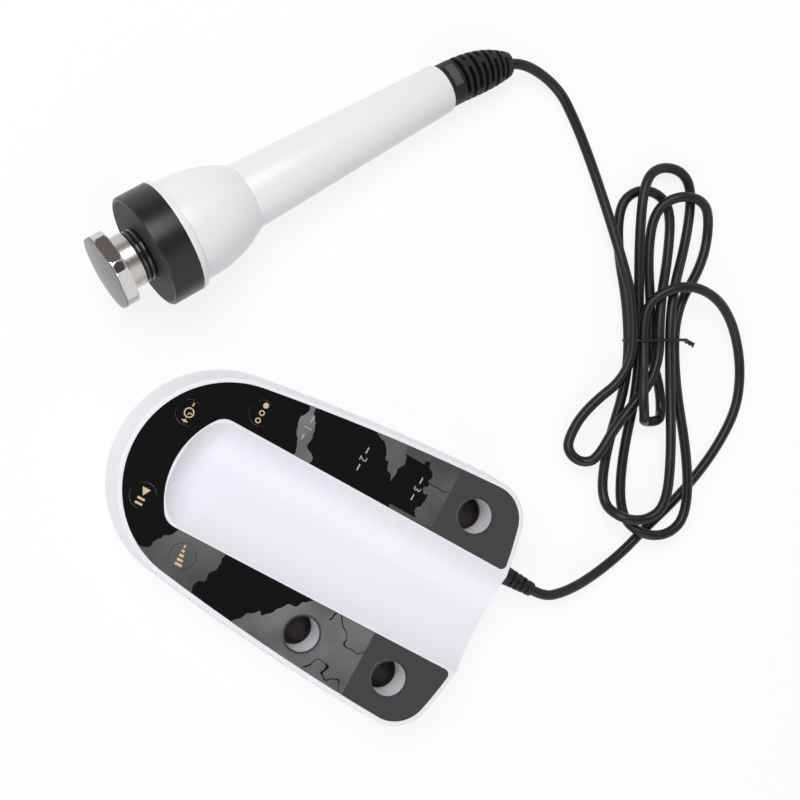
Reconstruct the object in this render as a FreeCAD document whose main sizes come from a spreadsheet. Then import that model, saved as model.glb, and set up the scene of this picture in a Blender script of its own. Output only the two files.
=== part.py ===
"""Radio frequency beauty machine: a base unit with a cradle and three probe sockets, a handpiece
with a screw-on probe, and the cord between them, bundled in a hank.

Millimetres, +Z up. The origin is on the table, under the middle of base unit and handpiece.
"""
import FreeCAD, Part
import math
import os

import Sketcher

SIZES = {
    # Place of the base unit, whose own middle is (0, 0), nose towards -Y
    "base_x": 95.99,
    "base_y": 11.04,
    # Plan of the base unit's rim: nose arc, gently bowed sides, round tail corners, bowed tail
    "nose_radius": 52.4,
    "nose_back": 39.6,
    "shoulder_angle": 9.6,
    "tail_angle": 3.6,
    "side_length": 130.3,
    "corner_radius": 20.4,
    "tail_radius": 202.4,
    # Heights and walls of the base unit
    "deck_height": 38.0,
    "parting_height": 8.0,
    "foot_height": 1.8,
    "wall_flare": 2.8,
    "bottom_tuck": 2.4,
    "wall": 2.4,
    "rim_width": 2.4,
    "rim_round": 1.1,
    "deck_thickness": 2.2,
    "clearance": 0.2,
    "overrun": 20.0,
    # Cradle
    "cradle_radius": 36.0,
    "cradle_depth": 12.6,
    "cradle_end": 68.0,
    "cradle_round": 18.0,
    "cradle_lip": 0.9,
    # Control panel
    "panel_thickness": 1.6,
    "panel_end": 68.5,
    "panel_end_radius": 42.0,
    "panel_end_corner": 9.0,
    "panel_tail_corner": 3.0,
    # Probe sockets
    "socket_radius": 8.65,
    "socket_depth_share": 0.68421,
    "socket_wall": 0.9,
    "socket_floor": 1.5,
    "socket_flange": 1.8,
    "socket_pad": 1.5,
    "socket_ledge": 0.7,
    "socket_side": 45.3,
    "socket_front": 26.5,
    "socket_rear": 76.5,
    # Keys
    "key_radius": 6.2,
    "key_thickness": 0.8,
    "key_gap": 0.25,
    "key_stem_radius": 2.0,
    "key_side_front": 22.0,
    "key_front": 73.5,
    "key_side_rear": 38.5,
    "key_rear": 43.0,
    # Boards under the deck
    "board_thickness": 1.6,
    "switch_size": 6.2,
    "switch_height": 3.4,
    "switch_bore": 2.3,
    "switch_bore_depth": 2.2,
    "board_drop": 4.0,
    "board_inset": 7.0,
    "board_inner": 25.0,
    "board_nose": 72.5,
    "board_tail": 33.0,
    "post_radius": 2.8,
    "post_front_x": 35.0,
    "post_front_y": 55.0,
    "post_rear_x": 43.0,
    "post_rear_y": 37.0,
    "display_width": 24.0,
    "display_depth": 8.0,
    "display_y": 79.0,
    "lamp_board_width": 9.0,
    "lamp_board_length": 84.0,
    "lamp_x": 43.0,
    "lamp_y": 11.5,
    "lamp_pitch": 31.5,
    "lamp_radius": 1.5,
    "lamp_post_pitch": 50.0,
    # Main board in the tray
    "main_width": 72.0,
    "main_length": 72.0,
    "main_y": 24.0,
    "standoff_height": 4.8,
    "standoff_radius": 3.2,
    "standoff_inset": 5.0,
    "core_width": 28.0,
    "core_depth": 24.0,
    "core_height_share": 0.873,
    "core_leg_share": 0.17857,
    "core_yoke_share": 0.22727,
    "core_x": 14.0,
    "core_y": 36.0,
    "fin_count": 6,
    "sink_width": 30.0,
    "sink_depth": 16.0,
    "sink_height_share": 0.873,
    "sink_base_share": 0.2727,
    "sink_x": 13.0,
    "sink_y": 1.0,
    "fin_share": 0.45,
    "capacitor_radius": 5.0,
    "capacitor_height_share": 0.873,
    "capacitor_pitch": 14.0,
    "capacitor_x": 14.0,
    "capacitor_y": 10.0,
    "chip_size": 10.0,
    "chip_height": 2.4,
    "chip_pitch": 16.0,
    "chip_y": 42.0,
    "ribbon_width": 14.0,
    "ribbon_thickness": 1.0,
    "ribbon_x": 30.0,
    "ribbon_y": 42.0,
    # Fasteners and feet
    "screw_radius": 1.5,
    "screw_head_radius": 2.8,
    "screw_head": 1.8,
    "small_screw_radius": 1.1,
    "small_screw_head_radius": 2.1,
    "small_screw_head": 1.4,
    "screw_bite": 8.0,
    "screw_play": 0.05,
    "boss_radius": 4.2,
    "boss_split": 10.0,
    "boss_front_x": 36.0,
    "boss_front_y": 66.0,
    "boss_rear_x": 50.0,
    "boss_rear_y": 92.5,
    "foot_radius": 6.0,
    "foot_recess": 0.8,
    "foot_front_x": 24.0,
    "foot_front_y": 72.0,
    "foot_rear_x": 48.0,
    "foot_rear_y": 80.0,
    # Tail wall: cord boot and power inlet
    "boot_x": 27.5,
    "boot_z": 15.0,
    "boot_neck_radius": 4.6,
    "boot_flange_radius": 6.6,
    "boot_flange": 2.0,
    "boot_root_radius": 4.9,
    "boot_tip_radius": 3.7,
    "boot_length": 21.0,
    "boot_collar": 5.5,
    "boot_seat": 110.8,
    "boot_inner": 102.5,
    "boot_slot_depth_share": 0.3,
    "boot_slots": 4,
    "slot_turn": -30.0,
    "inlet_x": 27.5,
    "inlet_width": 12.0,
    "inlet_depth": 12.0,
    "inlet_nose_radius": 4.6,
    "inlet_bore": 3.15,
    "inlet_pin": 1.0,
    "inlet_bore_depth": 9.5,
    "inlet_back": 92.5,
    "inlet_face": 108.4,
    # Place of the handpiece: the middle of the collar's back face, and which way the cord end lies
    "hand_x": 5.29,
    "hand_y": -108.81,
    "hand_heading": 149.16,
    # Handpiece shells
    "hand_wall": 2.2,
    "flange_radius": 28.5,
    "flange_length": 3.0,
    "bell_radius": 25.6,
    "bell_length": 37.2,
    "bell_bow": 60.0,
    "barrel_radius": 16.8,
    "barrel_end_radius": 12.6,
    "barrel_length": 120.3,
    "barrel_round": 2.0,
    "spigot_length": 6.0,
    "hand_boot_hole": 7.0,
    # Collar and what it carries
    "collar_radius": 28.3,
    "collar_length": 15.5,
    "collar_bevel": 2.2,
    "collar_lip": 3.7,
    "collar_recess": 0.4,
    "collar_hub": 1.0,
    "collar_face": 3.0,
    "carrier_radius": 24.0,
    "carrier_thickness": 5.0,
    "carrier_screw_ring": 17.0,
    "bushing_radius": 9.0,
    "bushing_flange_radius": 12.0,
    "bushing_flange": 2.5,
    "stud_radius": 6.0,
    "stud_length": 13.0,
    "stud_gap": 0.3,
    "seal_radius": 13.2,
    "seal_length": 5.0,
    "seal_bead": 0.5,
    "seal_gap": 0.1,
    "stem_radius": 13.2,
    "stem_length": 7.7,
    "stem_chamfer": 0.8,
    "disc_radius": 18.15,
    "disc_corner": 1.45,
    "disc_facets": 6,
    "disc_edge": 5.8,
    "disc_roll": 1.7,
    "disc_dome": 1.3,
    "disc_bevel": 0.7,
    "lead_radius": 1.6,
    "clamp_length": 12.0,
    "clamp_back": 6.0,
    # Handpiece boot
    "hand_boot_radius": 11.3,
    "hand_boot_tip": 5.3,
    "hand_boot_length": 39.0,
    "hand_boot_collar": 7.0,
    "hand_boot_belly_share": 0.7,
    "hand_boot_neck": 6.6,
    "hand_boot_inner": 5.0,
    "hand_boot_slots": 8,
    "hand_slot_depth_share": 0.3,
    "hand_boot_bend": 18.0,
    # Cord and tie
    "cord_diameter": 5.4,
    "cord_step": 6.3,
    "floor_gap": 0.1,
    "lead_run": 13.0,
    "tail_run": 8.0,
    "hank_x": -80.45,
    "hank_y": 141.48,
    "hank_heading": 210.18,
    "hank_reach": 105.0,
    "tie_diameter": 1.8,
    "tie_gap": 0.4,
    "tie_tail": 9.0,
}

doc = FreeCAD.newDocument("BeautyMachine")
sheet = doc.addObject("Spreadsheet::Sheet", "Sheet")


class Size:
    """A number that also carries the sheet expression it comes from."""

    def __init__(self, value, text):
        self.value = float(value)
        self.text = text

    def __add__(self, other):
        return Size(self.value + number(other), f"({self.text} + {wording(other)})")

    def __sub__(self, other):
        return Size(self.value - number(other), f"({self.text} - {wording(other)})")

    def __mul__(self, other):
        return Size(self.value * number(other), f"({self.text} * {wording(other)})")

    def __truediv__(self, other):
        return Size(self.value / number(other), f"({self.text} / {wording(other)})")

    def __neg__(self):
        return Size(-self.value, f"(0 - {self.text})")


def number(thing):
    return thing.value if isinstance(thing, Size) else float(thing)


def wording(thing):
    return thing.text if isinstance(thing, Size) else repr(thing)


def root(size):
    return Size(math.sqrt(size.value), f"sqrt({size.text})")


def sine(angle):
    return Size(math.sin(math.radians(angle.value)), f"sin({angle.text})")


def cosine(angle):
    return Size(math.cos(math.radians(angle.value)), f"cos({angle.text})")


class Sizes:
    """Every named size of the sheet, as an attribute."""


S = Sizes()
for row, (alias, amount) in enumerate(SIZES.items(), start=1):
    sheet.set(f"A{row}", alias)
    sheet.set(f"B{row}", str(amount))
    sheet.setAlias(f"B{row}", alias)
    setattr(S, alias, Size(amount, f"Sheet.{alias}"))
doc.recompute()

ZERO = Size(0, "0")
NODES = {}


def bind(thing, **sizes):
    for name, size in sizes.items():
        thing.setExpression(name, size.text)


def place(thing, x, y, z):
    for axis, size in zip("xyz", (x, y, z)):
        thing.setExpression(f"Placement.Base.{axis}", size.text)
    return thing


# Sketches


def coordinate_rules(geometry, point, x, y):
    """Constraints that fix a point at (x, y), with the expression that drives each of them."""
    rules = []
    for kind, size, axis in (("DistanceX", x, -2), ("DistanceY", y, -1)):
        if size.value > 0:
            rule = Sketcher.Constraint(kind, -1, 1, geometry, point, size.value)
            rules.append((rule, size.text))
        elif size.value < 0:
            rule = Sketcher.Constraint(kind, geometry, point, -1, 1, -size.value)
            rules.append((rule, (-size).text))
        else:
            rules.append((Sketcher.Constraint("PointOnObject", geometry, point, axis), None))
    return rules


def arc_between(start, end, radius):
    """The shorter arc from start to end, turning left for a positive radius."""
    chord = end - start
    half = chord.Length / 2
    rise = math.sqrt(max(radius * radius - half * half, 0))
    side = math.copysign(rise, radius)
    left = FreeCAD.Vector(-chord.y, chord.x, 0).normalize()
    centre = (start + end) / 2 + left * side
    angles = [math.atan2(p.y - centre.y, p.x - centre.x) for p in (start, end)]
    circle = Part.Circle(centre, FreeCAD.Vector(0, 0, 1), abs(radius))
    if radius > 0:
        return Part.ArcOfCircle(circle, *angles), (1, 2)
    return Part.ArcOfCircle(circle, *reversed(angles)), (2, 1)


def draw(sketch, rules, geometry):
    sketch.addGeometry(geometry, False)
    placed = sketch.addConstraint([rule for rule, text in rules])
    for index, (rule, text) in zip(placed, rules):
        if text:
            sketch.setExpression(f"Constraints[{index}]", text)


def add_outline(sketch, corners):
    """A closed outline. Each corner is (x, y) or (x, y, radius): a radius bends the edge that
    leaves that corner, to the left if positive and to the right if negative."""
    base = int(sketch.GeometryCount)
    spots = [FreeCAD.Vector(c[0].value, c[1].value, 0) for c in corners]
    geometry, ends = [], []
    for i, corner in enumerate(corners):
        start, end = spots[i], spots[(i + 1) % len(corners)]
        if len(corner) == 2:
            geometry.append(Part.LineSegment(start, end))
            ends.append((1, 2))
        else:
            arc, order = arc_between(start, end, corner[2].value)
            geometry.append(arc)
            ends.append(order)
    rules = []
    for i, corner in enumerate(corners):
        follow = (i + 1) % len(corners)
        joint = (base + i, ends[i][1], base + follow, ends[follow][0])
        rules.append((Sketcher.Constraint("Coincident", *joint), None))
        rules += coordinate_rules(base + i, ends[i][0], corner[0], corner[1])
        if len(corner) == 3:
            bend = corner[2] if corner[2].value > 0 else -corner[2]
            rules.append((Sketcher.Constraint("Radius", base + i, bend.value), bend.text))
    draw(sketch, rules, geometry)


def add_circle(sketch, x, y, radius):
    base = int(sketch.GeometryCount)
    middle = FreeCAD.Vector(x.value, y.value, 0)
    circle = Part.Circle(middle, FreeCAD.Vector(0, 0, 1), radius.value)
    rules = coordinate_rules(base, 3, x, y)
    rules.append((Sketcher.Constraint("Radius", base, radius.value), radius.text))
    draw(sketch, rules, [circle])


def new_sketch(body, name, plane, outlines=(), circles=(), rise=None, along=None):
    """A sketch on one of the body's own planes, lifted off it by rise, its origin moved up the
    plane by along."""
    sketch = body.newObject("Sketcher::SketchObject", name)
    support = [f for f in body.Origin.OriginFeatures if f.Role == plane][0]
    sketch.AttachmentSupport = [(support, "")]
    sketch.MapMode = "FlatFace"
    if rise:
        sketch.setExpression("AttachmentOffset.Base.z", rise.text)
    if along:
        sketch.setExpression("AttachmentOffset.Base.y", along.text)
    for corners in outlines:
        add_outline(sketch, corners)
    for x, y, radius in circles:
        add_circle(sketch, x, y, radius)
    return sketch


# Features of a body


def new_body(name):
    return doc.addObject("PartDesign::Body", name + "_body")


def extrude(body, kind, sketch, length, up=True):
    feature = body.newObject(f"PartDesign::{kind}", sketch.Name + "_" + kind.lower())
    feature.Profile = sketch
    bind(feature, Length=length)
    feature.Reversed = (kind == "Pad") != up
    return feature


def turn(body, kind, sketch, axis="V_Axis"):
    feature = body.newObject(f"PartDesign::{kind}", sketch.Name + "_" + kind.lower())
    feature.Profile = sketch
    feature.ReferenceAxis = (sketch, [axis])
    feature.Angle = 360.0
    return feature


def loft(body, kind, sketches):
    feature = body.newObject(f"PartDesign::{kind}", sketches[0].Name + "_loft")
    feature.Profile = sketches[0]
    feature.Sections = [(sketch, [""]) for sketch in sketches[1:]]
    feature.Ruled = True
    return feature


def turned(name, profile):
    """A body turned about its own Z axis from one profile of (radius, height) corners."""
    body = new_body(name)
    turn(body, "Revolution", new_sketch(body, name + "_profile", "XZ_Plane", [profile]))
    return body


# Primitives and booleans


def box(x, y, z, width, depth, height):
    """A block whose plan is centred on (x, y) and whose underside is at z."""
    block = doc.addObject("Part::Box", "block")
    bind(block, Length=width, Width=depth, Height=height)
    return place(block, x - width / 2, y - depth / 2, z)


def rod(x, y, z, radius, height):
    round_bar = doc.addObject("Part::Cylinder", "rod")
    bind(round_bar, Radius=radius, Height=height)
    return place(round_bar, x, y, z)


def cone(x, y, z, radius, tip, height):
    taper = doc.addObject("Part::Cone", "cone")
    bind(taper, Radius1=radius, Radius2=tip, Height=height)
    return place(taper, x, y, z)


def together(kind, things):
    whole = doc.addObject(kind, "group")
    if kind == "Part::Compound":
        whole.Links = things
    else:
        whole.Shapes = things
    return whole


def fuse(*things):
    return things[0] if len(things) == 1 else together("Part::MultiFuse", list(things))


def group(things):
    return together("Part::Compound", list(things))


def cut(base, *tools):
    rest = doc.addObject("Part::Cut", "cut")
    rest.Base = base
    rest.Tool = fuse(*tools)
    return rest


def screw(x, y, z, shank, length, head, head_height):
    """A screw that points up from its head, whose underside is at z."""
    return fuse(rod(x, y, z, head, head_height), rod(x, y, z + head_height, shank, length))


def lowered_screw(x, y, z, shank, length, head, head_height):
    """A screw that points down from its head, which rests on z."""
    return fuse(rod(x, y, z, head, head_height), rod(x, y, z - length, shank, length))


BASE_FRAME = FreeCAD.Placement(
    FreeCAD.Vector(S.base_x.value, S.base_y.value, 0), FreeCAD.Rotation()
)


def node(name, thing, frame=BASE_FRAME):
    thing.Label = name
    thing.Placement = frame
    NODES[name] = thing
    return thing


# Plans of the base unit

PI = Size(math.pi, "pi")
SIDE_BOW = S.side_length * 180 / (S.shoulder_angle - S.tail_angle) / PI
CRADLE_HALF = root(S.cradle_depth * (S.cradle_radius * 2 - S.cradle_depth))


def mirrored(point):
    return (-point[0], point[1])


def rim_points(inset):
    """The right-hand joins of nose, side, corner and tail arcs, and the tail arc's middle."""
    nose = (cosine(S.shoulder_angle), -sine(S.shoulder_angle))
    rear = (cosine(S.tail_angle), -sine(S.tail_angle))
    back = SIDE_BOW - S.nose_radius
    side = (-(back * nose[0]), -S.nose_back - back * nose[1])
    reach = SIDE_BOW - S.corner_radius
    corner = (side[0] + reach * rear[0], side[1] + reach * rear[1])
    span = S.tail_radius - S.corner_radius
    tail_y = corner[1] - root(span * span - corner[0] * corner[0])
    nose_arm = S.nose_radius - inset
    side_arm = SIDE_BOW - inset
    tail_share = (S.tail_radius - inset) / span
    return (
        (nose_arm * nose[0], nose_arm * nose[1] - S.nose_back),
        (side[0] + side_arm * rear[0], side[1] + side_arm * rear[1]),
        (corner[0] * tail_share, tail_y + (corner[1] - tail_y) * tail_share),
        tail_y,
    )


def rim_outline(inset):
    """The rim's plan, moved inwards by inset."""
    shoulder, flank, corner, tail_y = rim_points(inset)
    bow, bend = SIDE_BOW - inset, S.corner_radius - inset
    return [
        (*shoulder, bow),
        (*flank, bend),
        (*corner, S.tail_radius - inset),
        (*mirrored(corner), bend),
        (*mirrored(flank), bow),
        (*mirrored(shoulder), S.nose_radius - inset),
    ]


def horseshoe(inset, gap):
    """The deck round the cradle: the rim's plan less a slot, gap wider than the cradle's lip."""
    shoulder, flank, corner, tail_y = rim_points(inset)
    bow, bend = SIDE_BOW - inset, S.corner_radius - inset
    tail_arm = S.tail_radius - inset
    half = CRADLE_HALF + S.cradle_lip + gap
    end_arm, end_bend = S.panel_end_radius + gap, S.panel_end_corner + gap
    end_y = S.panel_end_radius - S.panel_end
    reach = S.panel_end_radius - S.panel_end_corner
    bend_x = half - end_bend
    drop = root(reach * reach - bend_x * bend_x)
    tail_bend = S.panel_tail_corner - gap
    tail_reach = tail_arm - tail_bend
    tip_x = half + tail_bend
    tip_rise = root(tail_reach * tail_reach - tip_x * tip_x)
    tail = (tip_x * tail_arm / tail_reach, tail_y + tip_rise * tail_arm / tail_reach)
    tip = (half, tail_y + tip_rise)
    inner = (half, end_y - drop)
    foot = (bend_x * end_arm / reach, end_y - drop * end_arm / reach)
    return [
        (*shoulder, bow),
        (*flank, bend),
        (*corner, tail_arm),
        (*tail, tail_bend),
        tip,
        (*inner, -end_bend),
        (*foot, -end_arm),
        (*mirrored(foot), -end_bend),
        mirrored(inner),
        (*mirrored(tip), tail_bend),
        (*mirrored(tail), tail_arm),
        (*mirrored(corner), bend),
        (*mirrored(flank), bow),
        (*mirrored(shoulder), S.nose_radius - inset),
    ]


def rectangle(x, y, width, depth):
    left, right = x - width / 2, x + width / 2
    near, far = y - depth / 2, y + depth / 2
    return [(left, near), (right, near), (right, far), (left, far)]


KEYS = {
    "timer_key": (-S.key_side_front, -S.key_front),
    "start_key": (S.key_side_front, -S.key_front),
    "mode_key": (-S.key_side_rear, -S.key_rear),
    "level_key": (S.key_side_rear, -S.key_rear),
}
SOCKETS = [
    (-S.socket_side, S.socket_rear),
    (S.socket_side, S.socket_front),
    (S.socket_side, S.socket_rear),
]
LAMPS = [(-S.lamp_x, S.lamp_y + S.lamp_pitch * step) for step in (-1, 0, 1)]
LAMP_POSTS = [(-S.lamp_x, S.lamp_y + S.lamp_post_pitch * share) for share in (-0.5, 0.5)]
BOARD_POSTS = [
    (S.post_front_x * side, -S.post_front_y) for side in (-1, 1)
] + [(S.post_rear_x * side, -S.post_rear_y) for side in (-1, 1)]
CASE_BOSSES = [
    (S.boss_front_x * side, -S.boss_front_y) for side in (-1, 1)
] + [(S.boss_rear_x * side, S.boss_rear_y) for side in (-1, 1)]
FEET = [
    (S.foot_front_x * side, -S.foot_front_y) for side in (-1, 1)
] + [(S.foot_rear_x * side, S.foot_rear_y) for side in (-1, 1)]

DECK_FLOOR = S.deck_height - S.panel_thickness
DECK_UNDER = DECK_FLOOR - S.deck_thickness
BOARD_TOP = DECK_UNDER - S.board_drop
TRAY_FLOOR = S.foot_height + S.wall
AXIS_HEIGHT = S.deck_height + S.cradle_radius - S.cradle_depth
CUP_RADIUS = S.socket_radius + S.socket_wall


def circles(places, radius):
    return [(x, y, radius) for x, y in places]


# Upper shell


def cradle_profile(skin):
    """Half profile of the cradle about its axis: flat end, round corner, and straight on past
    the tail."""
    radius, bend = S.cradle_radius + skin, S.cradle_round + skin
    end = -S.cradle_end - skin
    tail = rim_points(-S.overrun)[2][1]
    return [
        (end, ZERO),
        (tail, ZERO),
        (tail, -radius),
        (end + bend, -radius, -bend),
        (end, bend - radius),
    ]


RIM_ROUND_SHARES = [(0, 1), (0.134, 0.5), (0.5, 0.134), (1, 0)]


def shell_block():
    """The upper shell as a solid block, with all that is cut into it from outside."""
    body = new_body("shell_block")
    levels = [(-S.wall_flare, S.parting_height)] + [
        (S.rim_round * inset, S.deck_height - S.rim_round * drop)
        for inset, drop in RIM_ROUND_SHARES
    ]
    sections = [
        new_sketch(body, f"shell_plan_{place}", "XY_Plane", [rim_outline(inset)], rise=height)
        for place, (inset, height) in enumerate(levels)
    ]
    loft(body, "AdditiveLoft", sections)
    hollow = new_sketch(
        body, "cradle_hollow", "YZ_Plane", [cradle_profile(ZERO)], along=AXIS_HEIGHT
    )
    turn(body, "Groove", hollow, "H_Axis")
    recess = new_sketch(
        body, "panel_recess", "XY_Plane", [horseshoe(S.rim_width, ZERO)], rise=S.deck_height
    )
    extrude(body, "Pocket", recess, S.panel_thickness, up=False)
    gap = S.clearance * 2
    openings = new_sketch(
        body, "deck_openings", "XY_Plane",
        [rectangle(ZERO, -S.display_y, S.display_width + gap, S.display_depth + gap)],
        circles(SOCKETS, CUP_RADIUS + S.clearance)
        + circles(KEYS.values(), S.key_stem_radius + S.key_gap)
        + circles(LAMPS, S.lamp_radius + S.clearance),
        rise=S.deck_height,
    )
    extrude(body, "Pocket", openings, S.panel_thickness + S.deck_thickness * 2, up=False)
    tail_holes = new_sketch(
        body, "tail_holes", "XZ_Plane",
        circles=[
            (-S.boot_x, S.boot_z, S.boot_neck_radius + S.clearance),
            (S.inlet_x, S.boot_z, S.inlet_nose_radius + S.clearance),
        ],
        rise=-S.boot_inner,
    )
    extrude(body, "Pocket", tail_holes, S.overrun, up=False)
    return body


def shell_core():
    """The space inside the upper shell: its posts and bosses are holes in this core."""
    body = new_body("shell_core")
    mouth = new_sketch(
        body, "core_mouth", "XY_Plane", [rim_outline(S.wall - S.wall_flare)],
        rise=S.parting_height,
    )
    roof = new_sketch(body, "core_roof", "XY_Plane", [rim_outline(S.wall)], rise=DECK_UNDER)
    loft(body, "AdditiveLoft", [mouth, roof])
    skin = new_sketch(
        body, "cradle_skin", "YZ_Plane", [cradle_profile(S.wall)], along=AXIS_HEIGHT
    )
    turn(body, "Groove", skin, "H_Axis")
    posts = new_sketch(
        body, "board_posts", "XY_Plane",
        circles=circles(BOARD_POSTS + LAMP_POSTS, S.post_radius), rise=DECK_UNDER,
    )
    extrude(body, "Pocket", posts, S.board_drop, up=False)
    bosses = new_sketch(
        body, "case_bosses", "XY_Plane", circles=circles(CASE_BOSSES, S.boss_radius),
        rise=DECK_UNDER,
    )
    extrude(body, "Pocket", bosses, DECK_UNDER - S.boss_split, up=False)
    return body


def upper_shell():
    pilots = [
        rod(x, y, S.boss_split, S.screw_radius + S.screw_play, S.screw_bite)
        for x, y in CASE_BOSSES
    ] + [
        rod(x, y, BOARD_TOP, S.small_screw_radius + S.screw_play, S.board_drop)
        for x, y in BOARD_POSTS + LAMP_POSTS
    ]
    return cut(shell_block(), shell_core(), *pilots)


node("upper_shell", upper_shell())


def control_panel():
    body = new_body("control_panel")
    plan = new_sketch(
        body, "panel_plan", "XY_Plane", [horseshoe(S.rim_width + S.clearance, S.clearance)],
        circles(SOCKETS, CUP_RADIUS + S.clearance)
        + circles(KEYS.values(), S.key_radius + S.key_gap),
        rise=DECK_FLOOR,
    )
    extrude(body, "Pad", plan, S.panel_thickness)
    return body


node("control_panel", control_panel())

SWITCH_TOP = BOARD_TOP + S.switch_height
STEM_FOOT = SWITCH_TOP - S.switch_bore_depth / 2
for key_name, (key_x, key_y) in KEYS.items():
    cap_under = S.deck_height - S.key_thickness
    cap = rod(key_x, key_y, cap_under, S.key_radius, S.key_thickness)
    stem = rod(key_x, key_y, STEM_FOOT, S.key_stem_radius, cap_under - STEM_FOOT)
    node(key_name, fuse(cap, stem))

SOCKET_DEPTH = S.deck_height * S.socket_depth_share
CUP_FLOOR = S.deck_height - SOCKET_DEPTH - S.socket_pad
CUP_UNDER = CUP_FLOOR - S.socket_floor


def socket_cup(x, y):
    tube = rod(x, y, CUP_UNDER, CUP_RADIUS, S.deck_height - CUP_UNDER)
    flange_under = DECK_UNDER - S.socket_flange
    flange = rod(x, y, flange_under, CUP_RADIUS + S.socket_flange, S.socket_flange)
    bore = rod(x, y, CUP_FLOOR + S.socket_pad, S.socket_radius, SOCKET_DEPTH)
    seat = rod(x, y, CUP_FLOOR, S.socket_radius - S.socket_ledge, S.socket_pad)
    return cut(fuse(tube, flange), bore, seat)


node("socket_cups", group(socket_cup(x, y) for x, y in SOCKETS))
PAD_RADIUS = S.socket_radius - S.socket_ledge - S.clearance
node("socket_pads", group(
    rod(x, y, CUP_FLOOR, PAD_RADIUS, S.socket_pad) for x, y in SOCKETS
))

# Boards under the deck


def control_board():
    body = new_body("control_board")
    shoulder = rim_points(S.board_inset)[0]
    tail = -S.board_tail
    plan = new_sketch(
        body, "control_board_plan", "XY_Plane",
        [[
            (shoulder[0], shoulder[1]), (shoulder[0], tail), (S.board_inner, tail),
            (S.board_inner, -S.post_front_y), (S.board_inner / 2, -S.board_nose),
            (-S.board_inner / 2, -S.board_nose), (-S.board_inner, -S.post_front_y),
            (-S.board_inner, tail), (-shoulder[0], tail),
            (-shoulder[0], shoulder[1], S.nose_radius - S.board_inset),
        ]],
        circles(BOARD_POSTS, S.small_screw_radius + S.clearance),
        rise=BOARD_TOP - S.board_thickness,
    )
    extrude(body, "Pad", plan, S.board_thickness)
    notches = new_sketch(
        body, "boss_notches", "XY_Plane",
        circles=circles(CASE_BOSSES[:2], S.boss_radius + S.clearance * 2), rise=BOARD_TOP,
    )
    extrude(body, "Pocket", notches, S.board_thickness, up=False)
    return body


node("control_board", control_board())


def tact_switch(x, y):
    housing = box(x, y, BOARD_TOP, S.switch_size, S.switch_size, S.switch_height)
    bore = rod(x, y, SWITCH_TOP - S.switch_bore_depth, S.switch_bore, S.switch_bore_depth)
    return cut(housing, bore)


node("tact_switches", group(tact_switch(x, y) for x, y in KEYS.values()))
node("display_module", group([box(
    ZERO, -S.display_y, BOARD_TOP, S.display_width, S.display_depth, DECK_FLOOR - BOARD_TOP
)]))
BOARD_UNDER = BOARD_TOP - S.board_thickness
SMALL = (S.small_screw_radius, S.board_drop, S.small_screw_head_radius, S.small_screw_head)
node("control_board_screws", group(
    screw(x, y, BOARD_UNDER - S.small_screw_head, *SMALL) for x, y in BOARD_POSTS
))
node("lamp_board", cut(
    box(-S.lamp_x, S.lamp_y, BOARD_UNDER, S.lamp_board_width, S.lamp_board_length,
        S.board_thickness),
    *[rod(x, y, BOARD_UNDER, S.small_screw_radius + S.clearance, S.board_thickness)
      for x, y in LAMP_POSTS],
))
node("lamp_board_screws", group(
    screw(x, y, BOARD_UNDER - S.small_screw_head, *SMALL) for x, y in LAMP_POSTS
))
node("indicator_lamps", group(
    rod(x, y, BOARD_TOP, S.lamp_radius, DECK_FLOOR - BOARD_TOP) for x, y in LAMPS
))

# Tray and what stands on it

MAIN_UNDER = TRAY_FLOOR + S.standoff_height
MAIN_TOP = MAIN_UNDER + S.board_thickness
HEADROOM = S.deck_height - S.cradle_depth - S.deck_thickness - MAIN_TOP
CORE_HEIGHT = HEADROOM * S.core_height_share
CORE_LEG = S.core_width * S.core_leg_share
CORE_YOKE = CORE_HEIGHT * S.core_yoke_share
SINK_HEIGHT = HEADROOM * S.sink_height_share
SINK_BASE = SINK_HEIGHT * S.sink_base_share
CAPACITOR_HEIGHT = HEADROOM * S.capacitor_height_share
STANDOFFS = [
    ((S.main_width / 2 - S.standoff_inset) * side,
     (S.main_length / 2 - S.standoff_inset) * end - S.main_y)
    for side in (-1, 1) for end in (-1, 1)
]
INLET_MID = (S.inlet_x, S.inlet_back + S.inlet_depth / 2)
INLET_UNDER = S.boot_z - S.inlet_width / 2
SCREW_SEAT = TRAY_FLOOR


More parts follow.
